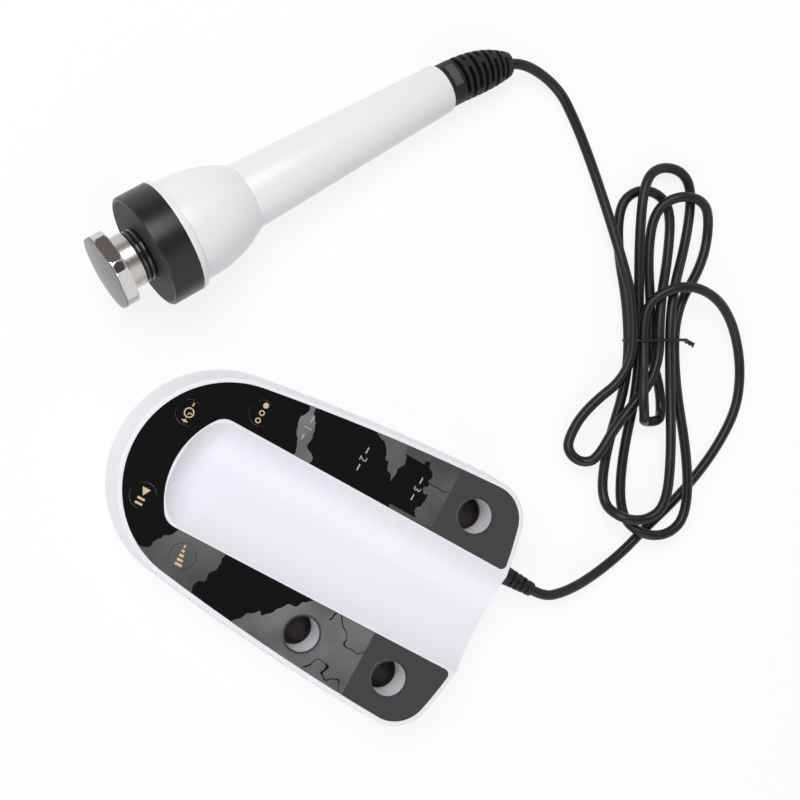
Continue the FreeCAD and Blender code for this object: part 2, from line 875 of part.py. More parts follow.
def lower_shell():
    body = new_body("lower_shell")
    tuck = S.bottom_tuck - S.wall_flare
    under = new_sketch(body, "tray_under", "XY_Plane", [rim_outline(tuck)], rise=S.foot_height)
    edge = new_sketch(
        body, "tray_edge", "XY_Plane", [rim_outline(-S.wall_flare)], rise=S.parting_height
    )
    loft(body, "AdditiveLoft", [under, edge])
    floor = new_sketch(
        body, "tray_floor", "XY_Plane", [rim_outline(tuck + S.wall)], rise=TRAY_FLOOR
    )
    mouth = new_sketch(
        body, "tray_mouth", "XY_Plane", [rim_outline(S.wall - S.wall_flare)],
        rise=S.parting_height,
    )
    loft(body, "SubtractiveLoft", [floor, mouth])
    half_wall = S.wall / 2
    standoffs = new_sketch(
        body, "standoffs", "XY_Plane", circles=circles(STANDOFFS, S.standoff_radius),
        rise=TRAY_FLOOR - half_wall,
    )
    extrude(body, "Pad", standoffs, S.standoff_height + half_wall)
    bosses = new_sketch(
        body, "tray_bosses", "XY_Plane", circles=circles(CASE_BOSSES, S.boss_radius),
        rise=TRAY_FLOOR - half_wall,
    )
    extrude(body, "Pad", bosses, S.boss_split - TRAY_FLOOR + half_wall)
    pedestal = new_sketch(
        body, "inlet_pedestal", "XY_Plane",
        [rectangle(*INLET_MID, S.inlet_width, S.inlet_depth)], rise=TRAY_FLOOR - half_wall,
    )
    extrude(body, "Pad", pedestal, INLET_UNDER - TRAY_FLOOR + half_wall)
    shanks = new_sketch(
        body, "case_shanks", "XY_Plane",
        circles=circles(CASE_BOSSES, S.screw_radius + S.clearance), rise=S.boss_split,
    )
    extrude(body, "Pocket", shanks, S.boss_split, up=False)
    heads = new_sketch(
        body, "case_heads", "XY_Plane",
        circles=circles(CASE_BOSSES, S.screw_head_radius + S.clearance), rise=SCREW_SEAT,
    )
    extrude(body, "Pocket", heads, S.wall, up=False)
    pilots = new_sketch(
        body, "standoff_pilots", "XY_Plane",
        circles=circles(STANDOFFS, S.small_screw_radius + S.screw_play), rise=MAIN_UNDER,
    )
    extrude(body, "Pocket", pilots, S.board_drop, up=False)
    seats = new_sketch(
        body, "foot_seats", "XY_Plane",
        circles=circles(FEET, S.foot_radius + S.clearance), rise=S.foot_height,
    )
    extrude(body, "Pocket", seats, S.foot_recess, up=True)
    return body


node("lower_shell", lower_shell())
node("rubber_feet", group(
    rod(x, y, ZERO, S.foot_radius, S.foot_height + S.foot_recess) for x, y in FEET
))
node("case_screws", group(
    screw(x, y, SCREW_SEAT - S.screw_head, S.screw_radius,
          S.boss_split - SCREW_SEAT + S.screw_bite * 0.8, S.screw_head_radius, S.screw_head)
    for x, y in CASE_BOSSES
))
node("main_board", cut(
    box(ZERO, -S.main_y, MAIN_UNDER, S.main_width, S.main_length, S.board_thickness),
    *[rod(x, y, MAIN_UNDER, S.small_screw_radius + S.clearance, S.board_thickness)
      for x, y in STANDOFFS],
))
node("main_board_screws", group(
    lowered_screw(x, y, MAIN_TOP, *SMALL) for x, y in STANDOFFS
))

WINDOW = (S.core_width - CORE_LEG * 4) / 2
WINDOW_HEIGHT = CORE_HEIGHT - CORE_YOKE * 2


def transformer_core():
    block = box(-S.core_x, -S.core_y, MAIN_TOP, S.core_width, S.core_depth, CORE_HEIGHT)
    shift = CORE_LEG + WINDOW / 2
    return cut(block, *[
        box(shift * side - S.core_x, -S.core_y, MAIN_TOP + CORE_YOKE, WINDOW, S.core_depth,
            WINDOW_HEIGHT)
        for side in (-1, 1)
    ])


def transformer_bobbin():
    gap = S.clearance * 2
    width = (CORE_LEG + WINDOW) * 2 - gap
    z = MAIN_TOP + CORE_YOKE + S.clearance
    coil = box(-S.core_x, -S.core_y, z, width, S.core_depth + WINDOW * 2, WINDOW_HEIGHT - gap)
    leg = box(-S.core_x, -S.core_y, z, CORE_LEG * 2 + gap, S.core_depth + gap, WINDOW_HEIGHT)
    return cut(coil, leg)


node("transformer_core", transformer_core())
node("transformer_bobbin", transformer_bobbin())


def heat_sink():
    plate = box(-S.sink_x, -S.sink_y, MAIN_TOP, S.sink_width, S.sink_depth, SINK_BASE)
    fins = []
    count = int(S.fin_count.value)
    pitch = S.sink_width / S.fin_count
    for fin in range(count):
        x = pitch * (fin + 0.5) - S.sink_width / 2 - S.sink_x
        fins.append(box(x, -S.sink_y, MAIN_TOP, pitch * S.fin_share, S.sink_depth, SINK_HEIGHT))
    return fuse(plate, *fins)


node("heat_sink", heat_sink())
node("capacitors", group(
    rod(S.capacitor_x, S.capacitor_pitch * share - S.capacitor_y, MAIN_TOP, S.capacitor_radius,
        CAPACITOR_HEIGHT)
    for share in (-0.5, 0.5)
))
node("driver_chips", group(
    box(S.capacitor_x, S.chip_pitch * share - S.chip_y, MAIN_TOP, S.chip_size, S.chip_size,
        S.chip_height)
    for share in (-0.5, 0.5)
))


def ribbon_cable():
    height = BOARD_UNDER - MAIN_TOP
    plug = S.ribbon_thickness * 3
    strip = box(S.ribbon_x, -S.ribbon_y, MAIN_TOP, S.ribbon_thickness, S.ribbon_width, height)
    plugs = [
        box(S.ribbon_x, -S.ribbon_y, z, plug, S.ribbon_width + plug, plug)
        for z in (MAIN_TOP, BOARD_UNDER - plug)
    ]
    return fuse(strip, *plugs)


node("ribbon_cable", ribbon_cable())


def power_inlet():
    """Low voltage jack, built lying on its back: Z runs out of the tail wall."""
    length = S.inlet_face - S.inlet_back
    block = box(ZERO, ZERO, ZERO, S.inlet_width, S.inlet_width, S.inlet_depth)
    nose = rod(ZERO, ZERO, ZERO, S.inlet_nose_radius, length)
    bore = rod(ZERO, ZERO, length - S.inlet_bore_depth, S.inlet_bore, S.inlet_bore_depth)
    pin = rod(ZERO, ZERO, ZERO, S.inlet_pin, length - S.clearance * 5)
    return fuse(cut(fuse(block, nose), bore), pin)


TO_TAIL = FreeCAD.Rotation(FreeCAD.Vector(1, 0, 0), -90)


def tail_frame(x, y):
    spot = FreeCAD.Vector(S.base_x.value + x.value, S.base_y.value + y.value, S.boot_z.value)
    return FreeCAD.Placement(spot, TO_TAIL)


node("power_inlet", power_inlet(), tail_frame(S.inlet_x, S.inlet_back))


def boot_slots(count, first, pitch, half_webs, frame_at, slot_height):
    """Slots cut from two sides of a boot, each row a quarter turn on from the one before."""
    slots = []
    for slot in range(count):
        half_web = half_webs[slot]
        reach = S.hand_boot_radius * 2
        spot = frame_at(first + pitch * (slot + 0.5))
        for side in (-1, 1):
            block = doc.addObject("Part::Box", "slot")
            bind(block, Length=S.hand_boot_radius, Width=reach, Height=slot_height)
            shift = half_web.value if side > 0 else -half_web.value - S.hand_boot_radius.value
            corner = FreeCAD.Vector(shift, -reach.value / 2, -slot_height.value / 2)
            turn_by = S.slot_turn.value + 90 * ((slot + 1) % 2)
            spin = FreeCAD.Placement(
                FreeCAD.Vector(), FreeCAD.Rotation(FreeCAD.Vector(0, 0, 1), turn_by)
            )
            block.Placement = spot.multiply(spin).multiply(
                FreeCAD.Placement(corner, FreeCAD.Rotation())
            )
            slots.append(block)
    return slots


def base_boot():
    """The tail wall's strain relief, Z running out of the wall from its seat."""
    inner = S.boot_inner - S.boot_seat
    flange = rod(ZERO, ZERO, inner, S.boot_flange_radius, S.boot_flange)
    neck = rod(ZERO, ZERO, inner, S.boot_neck_radius, -inner)
    collar = rod(ZERO, ZERO, ZERO, S.boot_root_radius, S.boot_collar)
    taper_length = S.boot_length - S.boot_collar
    taper = cone(ZERO, ZERO, S.boot_collar, S.boot_root_radius, S.boot_tip_radius, taper_length)
    count = int(S.boot_slots.value)
    pitch = taper_length / (S.boot_slots + 0.6)
    webs = [
        (S.boot_root_radius - (S.boot_root_radius - S.boot_tip_radius) * (row / count))
        * (-S.boot_slot_depth_share + 1)
        for row in range(count)
    ]
    slots = boot_slots(
        count, S.boot_collar, pitch, webs,
        lambda z: FreeCAD.Placement(FreeCAD.Vector(0, 0, z.value), FreeCAD.Rotation()),
        pitch * 0.45,
    )
    return cut(fuse(flange, neck, collar, taper), *slots)


node("base_boot", base_boot(), tail_frame(-S.boot_x, S.boot_seat))

# Handpiece: Z runs along its axis from the collar's back face to the cord, X is the side to
# which its boot bends

BELL_END = S.flange_length + S.bell_length
BARREL_END = BELL_END + S.barrel_length
TILT = math.atan2(
    S.flange_radius.value - S.barrel_end_radius.value,
    BARREL_END.value - S.barrel_round.value - S.flange_length.value,
)
HAND_HEIGHT = (
    S.flange_radius.value * math.cos(TILT) + S.flange_length.value * math.sin(TILT)
)


def hand_frame():
    """The handpiece lies on the table on its flange and on the end of its barrel."""
    heading = math.radians(S.hand_heading.value)
    ahead = FreeCAD.Vector(math.cos(heading), math.sin(heading), 0)
    right = FreeCAD.Vector(ahead.y, -ahead.x, 0)
    axis = ahead * math.cos(TILT) - FreeCAD.Vector(0, 0, math.sin(TILT))
    turned_to = FreeCAD.Rotation(right, axis.cross(right), axis, "ZXY")
    return FreeCAD.Placement(
        FreeCAD.Vector(S.hand_x.value, S.hand_y.value, HAND_HEIGHT), turned_to
    )


HAND = hand_frame()
COLLAR_FRONT = -S.collar_length
FACE_BACK = COLLAR_FRONT + S.collar_face
CARRIER_BACK = FACE_BACK + S.carrier_thickness
SEAL_BACK = COLLAR_FRONT - S.seal_gap
SEAL_FRONT = SEAL_BACK - S.seal_length
STEM_BACK = SEAL_FRONT - S.seal_gap
STEM_FRONT = STEM_BACK - S.stem_length
STUD_END = STEM_BACK + S.stud_length
DISC_FRONT = STEM_FRONT - S.disc_edge
BUSHING_BACK = CARRIER_BACK + S.bushing_flange

node("bell_housing", turned("bell_housing", [
    (S.flange_radius, ZERO), (S.flange_radius, S.flange_length),
    (S.bell_radius, S.flange_length, S.bell_bow), (S.barrel_radius, BELL_END),
    (S.barrel_radius - S.hand_wall, BELL_END, S.hand_wall - S.bell_bow),
    (S.bell_radius - S.hand_wall, S.flange_length), (S.bell_radius - S.hand_wall, ZERO),
]), HAND)

SPIGOT = S.barrel_radius - S.hand_wall - S.clearance
SPIGOT_FRONT = BELL_END - S.spigot_length
BARREL_BORE = SPIGOT - S.hand_wall
BARREL_BORE_END = S.barrel_end_radius - S.hand_wall
BORE_LENGTH = BARREL_END - S.collar_face - SPIGOT_FRONT
node("barrel", turned("barrel", [
    (S.hand_boot_hole, BARREL_END),
    (S.barrel_end_radius - S.barrel_round, BARREL_END, -S.barrel_round),
    (S.barrel_end_radius, BARREL_END - S.barrel_round), (S.barrel_radius, BELL_END),
    (SPIGOT, BELL_END), (SPIGOT, SPIGOT_FRONT), (BARREL_BORE, SPIGOT_FRONT),
    (BARREL_BORE_END, BARREL_END - S.collar_face),
    (S.hand_boot_hole, BARREL_END - S.collar_face),
]), HAND)

SCREW_RING = [(step / 3) for step in range(3)]
CARRIER_SCREWS = [
    (S.carrier_screw_ring * math.cos(2 * math.pi * share),
     S.carrier_screw_ring * math.sin(2 * math.pi * share))
    for share in SCREW_RING
]


def collar():
    body = turned("collar", [
        (S.collar_radius, ZERO),
        (S.collar_radius, COLLAR_FRONT + S.collar_bevel, -S.collar_bevel),
        (S.collar_radius - S.collar_bevel, COLLAR_FRONT),
        (S.collar_radius - S.collar_lip, COLLAR_FRONT),
        (S.collar_radius - S.collar_lip, COLLAR_FRONT + S.collar_recess),
        (S.seal_radius + S.collar_hub, COLLAR_FRONT + S.collar_recess),
        (S.seal_radius + S.collar_hub, COLLAR_FRONT),
        (S.bushing_radius + S.clearance, COLLAR_FRONT),
        (S.bushing_radius + S.clearance, FACE_BACK),
        (S.collar_radius - S.collar_face, FACE_BACK), (S.collar_radius - S.collar_face, ZERO),
    ])
    holes = new_sketch(
        body, "collar_pilots", "XY_Plane",
        circles=circles(CARRIER_SCREWS, S.screw_radius + S.screw_play), rise=FACE_BACK,
    )
    extrude(body, "Pocket", holes, S.collar_face * 0.7, up=False)
    return body


node("collar", collar(), HAND)
node("bushing_carrier", cut(
    rod(ZERO, ZERO, FACE_BACK, S.carrier_radius, S.carrier_thickness),
    rod(ZERO, ZERO, FACE_BACK, S.bushing_radius + S.clearance, S.carrier_thickness),
    *[rod(x, y, FACE_BACK, S.screw_radius + S.clearance, S.carrier_thickness)
      for x, y in CARRIER_SCREWS],
), HAND)
node("carrier_screws", group(
    lowered_screw(x, y, CARRIER_BACK, S.screw_radius, S.carrier_thickness + S.collar_face * 0.6,
                  S.screw_head_radius, S.screw_head)
    for x, y in CARRIER_SCREWS
), HAND)
node("probe_bushing", turned("probe_bushing", [
    (ZERO, STUD_END + S.stud_gap), (S.stud_radius + S.stud_gap, STUD_END + S.stud_gap),
    (S.stud_radius + S.stud_gap, COLLAR_FRONT), (S.bushing_radius, COLLAR_FRONT),
    (S.bushing_radius, CARRIER_BACK), (S.bushing_flange_radius, CARRIER_BACK),
    (S.bushing_flange_radius, BUSHING_BACK), (ZERO, BUSHING_BACK),
]), HAND)
SEAL_WAIST = S.seal_radius - S.seal_bead
BEAD_HALF = S.seal_length / 4
BEAD_ARC = (BEAD_HALF * BEAD_HALF + S.seal_bead * S.seal_bead) / (S.seal_bead * 2)
node("seal_ring", turned("seal_ring", [
    (S.stud_radius + S.stud_gap, SEAL_BACK), (S.stud_radius + S.stud_gap, SEAL_FRONT),
    (SEAL_WAIST, SEAL_FRONT, BEAD_ARC), (SEAL_WAIST, SEAL_FRONT + BEAD_HALF * 2, BEAD_ARC),
    (SEAL_WAIST, SEAL_BACK),
]), HAND)
node("probe_stem", turned("probe_stem", [
    (ZERO, STUD_END), (S.stud_radius, STUD_END), (S.stud_radius, STEM_BACK),
    (S.stem_radius - S.stem_chamfer, STEM_BACK), (S.stem_radius, STEM_BACK - S.stem_chamfer),
    (S.stem_radius, STEM_FRONT), (ZERO, STEM_FRONT),
]), HAND)


def probe_head():
    """A six-sided disc with softened corners, a rolled rim and a shallow domed face."""
    reach = S.disc_radius + S.disc_corner
    face = reach - S.disc_roll
    face_front = DISC_FRONT - S.disc_roll
    dome = (face * face + S.disc_dome * S.disc_dome) / (S.disc_dome * 2)
    blank = turned("probe_blank", [
        (ZERO, STEM_FRONT), (S.disc_radius - S.disc_bevel, STEM_FRONT),
        (reach, STEM_FRONT - S.disc_bevel), (reach, DISC_FRONT, -S.disc_roll),
        (face, face_front, -dome), (ZERO, face_front - S.disc_dome),
    ])
    prism = doc.addObject("Part::Prism", "facets")
    prism.Polygon = int(S.disc_facets.value)
    half_facet = Size(180, "180") / S.disc_facets
    prism.Placement.Rotation = FreeCAD.Rotation(FreeCAD.Vector(0, 0, 1), half_facet.value)
    bind(prism, Circumradius=S.disc_radius / cosine(half_facet),
         Height=S.disc_edge + S.disc_roll + S.disc_dome)
    place(prism, ZERO, ZERO, face_front - S.disc_dome)
    head = doc.addObject("Part::MultiCommon", "head")
    head.Shapes = [blank, prism]
    return head


node("probe_head", probe_head(), HAND)

CLAMP_END = BARREL_END - S.collar_face - S.clamp_back
CLAMP_FRONT = CLAMP_END - S.clamp_length


def bore_radius(z):
    return BARREL_BORE - (BARREL_BORE - BARREL_BORE_END) * (z - SPIGOT_FRONT) / BORE_LENGTH


node("cord_clamp", group([cone(
    ZERO, ZERO, CLAMP_FRONT, bore_radius(CLAMP_FRONT) - S.clearance,
    bore_radius(CLAMP_END) - S.clearance, S.clamp_length,
)]), HAND)
node("output_lead", group([
    rod(ZERO, ZERO, BUSHING_BACK, S.lead_radius, CLAMP_FRONT - BUSHING_BACK)
]), HAND)

BEND_RADIUS = S.hand_boot_length.value / math.radians(S.hand_boot_bend.value)


def boot_frame(along):
    """Frame on the handpiece boot's bent axis, along it by a length."""
    angle = along.value / BEND_RADIUS
    spot = FreeCAD.Vector(
        BEND_RADIUS * (1 - math.cos(angle)), 0, BARREL_END.value + BEND_RADIUS * math.sin(angle)
    )
    return FreeCAD.Placement(spot, FreeCAD.Rotation(FreeCAD.Vector(0, 1, 0), math.degrees(angle)))


def boot_radius(along):
    """Plain collar, then a full-bellied taper to the tip."""
    if along.value <= S.hand_boot_collar.value:
        return S.hand_boot_radius
    share = (along - S.hand_boot_collar) / (S.hand_boot_length - S.hand_boot_collar)
    drop = share * (share * S.hand_boot_belly_share - S.hand_boot_belly_share + 1)
    return S.hand_boot_radius - (S.hand_boot_radius - S.hand_boot_tip) * drop


BOOT_SECTION_SHARES = [0.25, 0.5, 0.75, 1.0]


def handle_boot():
    rings = []
    taper = S.hand_boot_length - S.hand_boot_collar
    stations = [ZERO, S.hand_boot_collar] + [
        S.hand_boot_collar + taper * share for share in BOOT_SECTION_SHARES
    ]
    for along in stations:
        ring = doc.addObject("Part::Circle", "boot_ring")
        bind(ring, Radius=boot_radius(along))
        ring.Placement = boot_frame(along)
        rings.append(ring)
    skin = doc.addObject("Part::Loft", "boot_skin")
    skin.Sections = rings
    skin.Solid = True
    skin.Ruled = True
    neck = rod(ZERO, ZERO, BARREL_END - S.hand_boot_inner, S.hand_boot_neck,
               S.hand_boot_inner + S.hand_boot_collar)
    count = int(S.hand_boot_slots.value)
    pitch = taper / (S.hand_boot_slots + 0.6)
    webs = [
        boot_radius(S.hand_boot_collar + pitch * (row + 0.5)) * (-S.hand_slot_depth_share + 1)
        for row in range(count)
    ]
    slots = boot_slots(
        count, S.hand_boot_collar, pitch, webs, boot_frame, pitch * 0.4
    )
    return cut(fuse(skin, neck), *slots)


node("handle_boot", handle_boot(), HAND)

# Cord: one length from boot to boot, most of it wound to and fro in a hank. The hank's own axes
# run across it and along it; places in it are shares of its reach, heights are counted in cords.

CORD = S.cord_diameter.value
HANK = FreeCAD.Vector(S.hank_x.value, S.hank_y.value, 0)
HANK_TURN = math.radians(S.hank_heading.value)
ALONG = FreeCAD.Vector(math.cos(HANK_TURN), math.sin(HANK_TURN), 0)
ACROSS = FreeCAD.Vector(ALONG.y, -ALONG.x, 0)
UP = FreeCAD.Vector(0, 0, 1)
WAIST_SHARE = 0.46
WAIST_SHARES = [-0.1352, -0.0762, -0.0086, 0.0095, 0.0686, 0.1238]

# From waist column and layer, to waist column and layer, the tip's place across and along, the
# loop's radius, and the heights before, at and after the tip
LOBE_SHARES = [
    (0, 1, 3, 1, -0.4293, -0.5952, 0.0857, (0.50, 0.75, 1.27)),
    (3, 1, 0, 0, -0.0242, 0.7619, 0.1426, (0.07, 0.00, 0.00)),
    (0, 0, 4, 1, -0.1383, -0.9095, 0.1491, (0.00, 1.96, 2.39)),
    (4, 1, 1, 0, 0.0987, 0.8762, 0.1474, (0.08, 0.48, 1.00)),
    (1, 0, 5, 0, -0.0020, -1.0000, 0.1732, (0.07, 1.22, 1.12)),
    (5, 0, 2, 0, 0.1868, 0.7238, 0.1635, (0.19, 1.49, 0.52)),
    (2, 0, 1, 1, -0.0206, -0.4143, 0.0797, (0.15, 1.10, 2.46)),
]
HANDLE_LEAD_SHARES = [
    (-0.5048, 1.2667, 0.190), (-0.4095, 1.0952, 0.032), (-0.3381, 0.9238, 0.063),
    (-0.2762, 0.7429, 0.270), (-0.2238, 0.5524, 0.746), (-0.1762, 0.3619, 1.238),
    (-0.1352, 0.1905, 1.460),
]
BASE_LEAD_SHARES = [
    (-0.0762, 0.1619, 1.460), (0.0190, 0.2524, 2.222), (0.1619, 0.2762, 2.571),
    (0.3095, 0.2190, 2.016), (0.4190, 0.1143, 1.143), (0.4905, -0.0286, 0.381),
    (0.5190, -0.1905, 0.016), (0.4952, -0.3619, 0.000), (0.4095, -0.5238, 0.000),
    (0.2857, -0.6857, 0.000), (0.1333, -0.8381, 0.000), (-0.0286, -0.9714, 0.000),
    (-0.1524, -1.0857, 0.000), (-0.2900, -1.1760, 0.254), (-0.4150, -1.2330, 0.825),
    (-0.5300, -1.2640, 1.460),
]


def hank_point(across, along, level):
    """A place in the hank from shares of its reach and a height counted in cords."""
    reach = S.hank_reach.value
    height = S.floor_gap.value + CORD / 2 + S.cord_step.value * level
    return HANK + ACROSS * (reach * across) + ALONG * (reach * along) + UP * height


class Path:
    """Straight runs and tangent arcs, end to end, with points along them."""

    def __init__(self):
        self.edges, self.points, self.radii = [], [], []

    def line(self, start, end):
        self.edges.append(Part.LineSegment(start, end).toShape())
        count = max(int((end - start).Length), 1)
        self.points += [start + (end - start) * (step / count) for step in range(count)]

    def arc(self, start, heading, end):
        """An arc from start, where it runs along heading, to end."""
        chord = end - start
        side = chord - heading * chord.dot(heading)
        if side.Length < S.screw_play.value * S.screw_play.value:
            return self.line(start, end)
        side.normalize()
        rise, run = chord.dot(side), chord.dot(heading)
        radius = chord.dot(chord) / (2 * rise)
        sweep = 2 * math.atan2(rise, run)
        centre = start + side * radius

        def at(share):
            angle = sweep * share
            return centre - side * (radius * math.cos(angle)) + heading * (
                radius * math.sin(angle)
            )

        self.edges.append(Part.Arc(start, at(0.5), end).toShape())
        count = max(int(radius * sweep), 2)
        self.points += [at(step / count) for step in range(count)]
        self.radii.append(radius)

    def biarc(self, start, start_heading, end, end_heading):
        """Two tangent arcs that leave start and reach end along the given headings."""
        span = end - start
        both = start_heading + end_heading
        agreement = 1 - start_heading.dot(end_heading)
        if agreement < S.screw_play.value ** 4:
            reach = span.dot(span) / (4 * span.dot(end_heading))
        else:
            pull = span.dot(both)
            reach = math.sqrt(pull * pull + 2 * agreement * span.dot(span)) - pull
            reach /= 2 * agreement
        first = start + start_heading * reach
        second = end - end_heading * reach
        heading = (second - first).normalize()
        middle = (first + second) / 2
        self.arc(start, start_heading, middle)
        self.arc(middle, heading, end)

    def rounded(self, corners):
        """Straight runs between corners, each corner rounded as far as its runs allow."""
        last = corners[0]
        for before, corner, after in zip(corners, corners[1:], corners[2:]):
            ahead = (corner - before).normalize()
            beyond = (after - corner).normalize()
            reach = 0.45 * min((corner - before).Length, (after - corner).Length)
            self.line(last, corner - ahead * reach)
            last = corner + beyond * reach
            self.arc(corner - ahead * reach, ahead, last)
        self.line(last, corners[-1])
        self.points.append(corners[-1])

    def length(self):
        return sum(edge.Length for edge in self.edges)


def tube(name, path, diameter):
    """A round tube along a path, with its volume compared with section times length."""
    wire = Part.Wire(path.edges)
    start = path.edges[0]
    heading = start.tangentAt(start.FirstParameter)
    ring = Part.Wire([Part.Circle(path.points[0], heading, diameter / 2).toShape()])
    shell = Part.BRepOffsetAPI.MakePipeShell(wire)
    shell.add(ring)
    shell.build()
    shell.makeSolid()
    solid = doc.addObject("Part::Feature", name)
    solid.Shape = shell.shape()
    share = solid.Shape.Volume / (math.pi * (diameter / 2) ** 2 * path.length())
    print(f"{name}: length {path.length():.1f} mm, volume share {share:.4f}, "
          f"least radius {min(path.radii):.1f} mm")
    return solid


def least_gap(points, others, apart):
    """Least clear gap between two runs of cord; apart skips neighbours on one and the same run."""
    best = None
    for i, point in enumerate(points):
        for j, other in enumerate(others):
            if abs(i - j) >= apart:
                gap = (point - other).Length
                if best is None or gap < best[0]:
                    best = (gap, point)
    return best[0] - CORD, best[1]


def waist_point(column, layer, along=0):
    return hank_point(WAIST_SHARES[column], along, WAIST_SHARE + layer)


def hank_knots():
    """Points and headings at the waist and round each loop."""
    knots = []
    for lobe in LOBE_SHARES:
        column_in, layer_in, column_out, layer_out, across, along, bend, levels = lobe
        way = math.copysign(1, along)
        start, end = waist_point(column_in, layer_in), waist_point(column_out, layer_out)
        middle = (start + end) / 2
        tip = hank_point(across, along, levels[1])
        axis = FreeCAD.Vector(tip.x - middle.x, tip.y - middle.y, 0).normalize()
        sideways = UP.cross(axis)
        if (start - end).dot(sideways) < 0:
            sideways = -sideways
        radius = bend * S.hank_reach.value
        centre = tip - axis * radius
        knots.append((start, ALONG * way))
        for spot, level, heading in (
            (centre + sideways * radius, levels[0], axis),
            (tip, levels[1], -sideways),
            (centre - sideways * radius, levels[2], -axis),
        ):
            height = hank_point(0, 0, level).z
            knots.append((FreeCAD.Vector(spot.x, spot.y, height), heading))
    knots.append((end, -ALONG * way))
    return knots


END_SHARE = CORD / S.hank_reach.value
HANK_START = waist_point(LOBE_SHARES[0][0], LOBE_SHARES[0][1], END_SHARE)
HANK_END = waist_point(LOBE_SHARES[-1][2], LOBE_SHARES[-1][3], END_SHARE)


def hank_path():
    path = Path()
    knots = hank_knots()
    path.line(HANK_START, knots[0][0])
    for (start, heading), (end, end_heading) in zip(knots, knots[1:]):
        path.biarc(start, heading, end, end_heading)
    path.line(knots[-1][0], HANK_END)
    path.points.append(HANK_END)
    return path


def handle_lead_path():
    tip = HAND.multiply(boot_frame(S.hand_boot_length))
    heading = tip.Rotation.multVec(UP)
    path = Path()
    path.rounded(
        [tip.Base, tip.Base + heading * S.lead_run.value]
        + [hank_point(*shares) for shares in HANDLE_LEAD_SHARES] + [HANK_START]
    )
    return path


def base_lead_path():
    tip = tail_frame(-S.boot_x, S.boot_seat + S.boot_length)
    heading = tip.Rotation.multVec(UP)
    path = Path()
    path.rounded(
        [HANK_END] + [hank_point(*shares) for shares in BASE_LEAD_SHARES]
        + [tip.Base + heading * S.tail_run.value, tip.Base]
    )
    return path


FREE = FreeCAD.Placement()
PATHS = {
    "handle_lead": handle_lead_path(),
    "cord_hank": hank_path(),
    "base_lead": base_lead_path(),
}
for cord_name, cord_path in PATHS.items():
    node(cord_name, tube(cord_name, cord_path, CORD), FREE)
print(f"cord length {sum(path.length() for path in PATHS.values()):.0f} mm")
hank_gap, hank_place = least_gap(
    PATHS["cord_hank"].points, PATHS["cord_hank"].points, int(CORD * 5)
)
print(f"hank: least gap to itself {hank_gap:.2f} mm at {hank_place}")
for lead in ("handle_lead", "base_lead"):
    clear = [p for p in PATHS[lead].points if min(
        (p - HANK_START).Length, (p - HANK_END).Length) > CORD * 1.6]
    gap, spot = least_gap(clear, PATHS["cord_hank"].points, 0)
    print(f"{lead}: least gap to the hank {gap:.2f} mm at {spot}, radii "
          + ", ".join(f"{radius:.0f}" for radius in PATHS[lead].radii))


def twist_tie():
    """A wire loop round the hank's waist, its twisted ends lying out to one side."""
    wire = S.tie_diameter.value
    margin = CORD / 2 + S.tie_gap.value + wire / 2
    reach = S.hank_reach.value
    left, right = WAIST_SHARES[0] * reach - margin, WAIST_SHARES[-1] * reach + margin
    low = hank_point(0, 0, WAIST_SHARE).z - margin
    high = hank_point(0, 0, WAIST_SHARE + 1).z + margin
    middle = (low + high) / 2
    spots = [
        (right, middle), (right, low), (left, low), (left, middle), (left, high), (right, high),
        (right, middle),
    ]
    path = Path()
    path.rounded([HANK + ACROSS * across + UP * height for across, height in spots])
    loop = tube("tie_loop", path, wire)
    tail = doc.addObject("Part::Cone", "tie_tail")
    bind(tail, Radius1=S.tie_diameter * 0.75, Radius2=S.tie_diameter * 0.5, Height=S.tie_tail)
    outward = (ACROSS - UP * 0.45 - ALONG * 0.4).normalize()
    tail.Placement = FreeCAD.Placement(path.points[0], FreeCAD.Rotation(UP, outward))
    return fuse(loop, tail)


node("twist_tie", twist_tie(), FREE)

# Check everything, then write the parts

doc.recompute()
for thing in doc.Objects:
    if "Invalid" in thing.State or "Error" in thing.State:
        raise RuntimeError(f"{thing.Label} did not compute: {thing.State}")
for name, thing in NODES.items():
    if thing.Shape.isNull() or not thing.Shape.isValid() or not thing.Shape.Solids:
        raise RuntimeError(f"{name} has no sound shape")
os.makedirs("parts", exist_ok=True)
for name, thing in NODES.items():
    thing.Shape.exportStep(f"parts/{name}.step")
print(f"{len(NODES)} parts written")
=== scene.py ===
"""Looks of the radio frequency beauty machine: base unit, handpiece and tied cord on a pale table."""
import math

import bmesh
import bpy
from mathutils import Matrix, Vector


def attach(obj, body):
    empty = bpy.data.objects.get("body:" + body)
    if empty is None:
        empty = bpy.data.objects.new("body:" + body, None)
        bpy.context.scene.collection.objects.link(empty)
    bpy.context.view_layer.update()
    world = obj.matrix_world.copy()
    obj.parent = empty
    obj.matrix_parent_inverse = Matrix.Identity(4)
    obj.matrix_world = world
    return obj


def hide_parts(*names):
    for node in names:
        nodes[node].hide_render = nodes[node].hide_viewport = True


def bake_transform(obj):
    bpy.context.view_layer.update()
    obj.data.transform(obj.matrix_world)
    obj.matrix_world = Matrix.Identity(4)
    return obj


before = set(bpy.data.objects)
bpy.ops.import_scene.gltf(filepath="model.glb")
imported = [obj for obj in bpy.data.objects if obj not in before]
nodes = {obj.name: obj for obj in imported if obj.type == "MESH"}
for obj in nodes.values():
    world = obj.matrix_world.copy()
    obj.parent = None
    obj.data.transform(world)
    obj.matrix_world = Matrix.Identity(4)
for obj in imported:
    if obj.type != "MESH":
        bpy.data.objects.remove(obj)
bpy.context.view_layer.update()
scene = bpy.context.scene
scene.view_settings.view_transform = "Standard"

# The object's sizes and places are in millimetres, and MM makes them metres. BASE is the middle of
# the base unit.

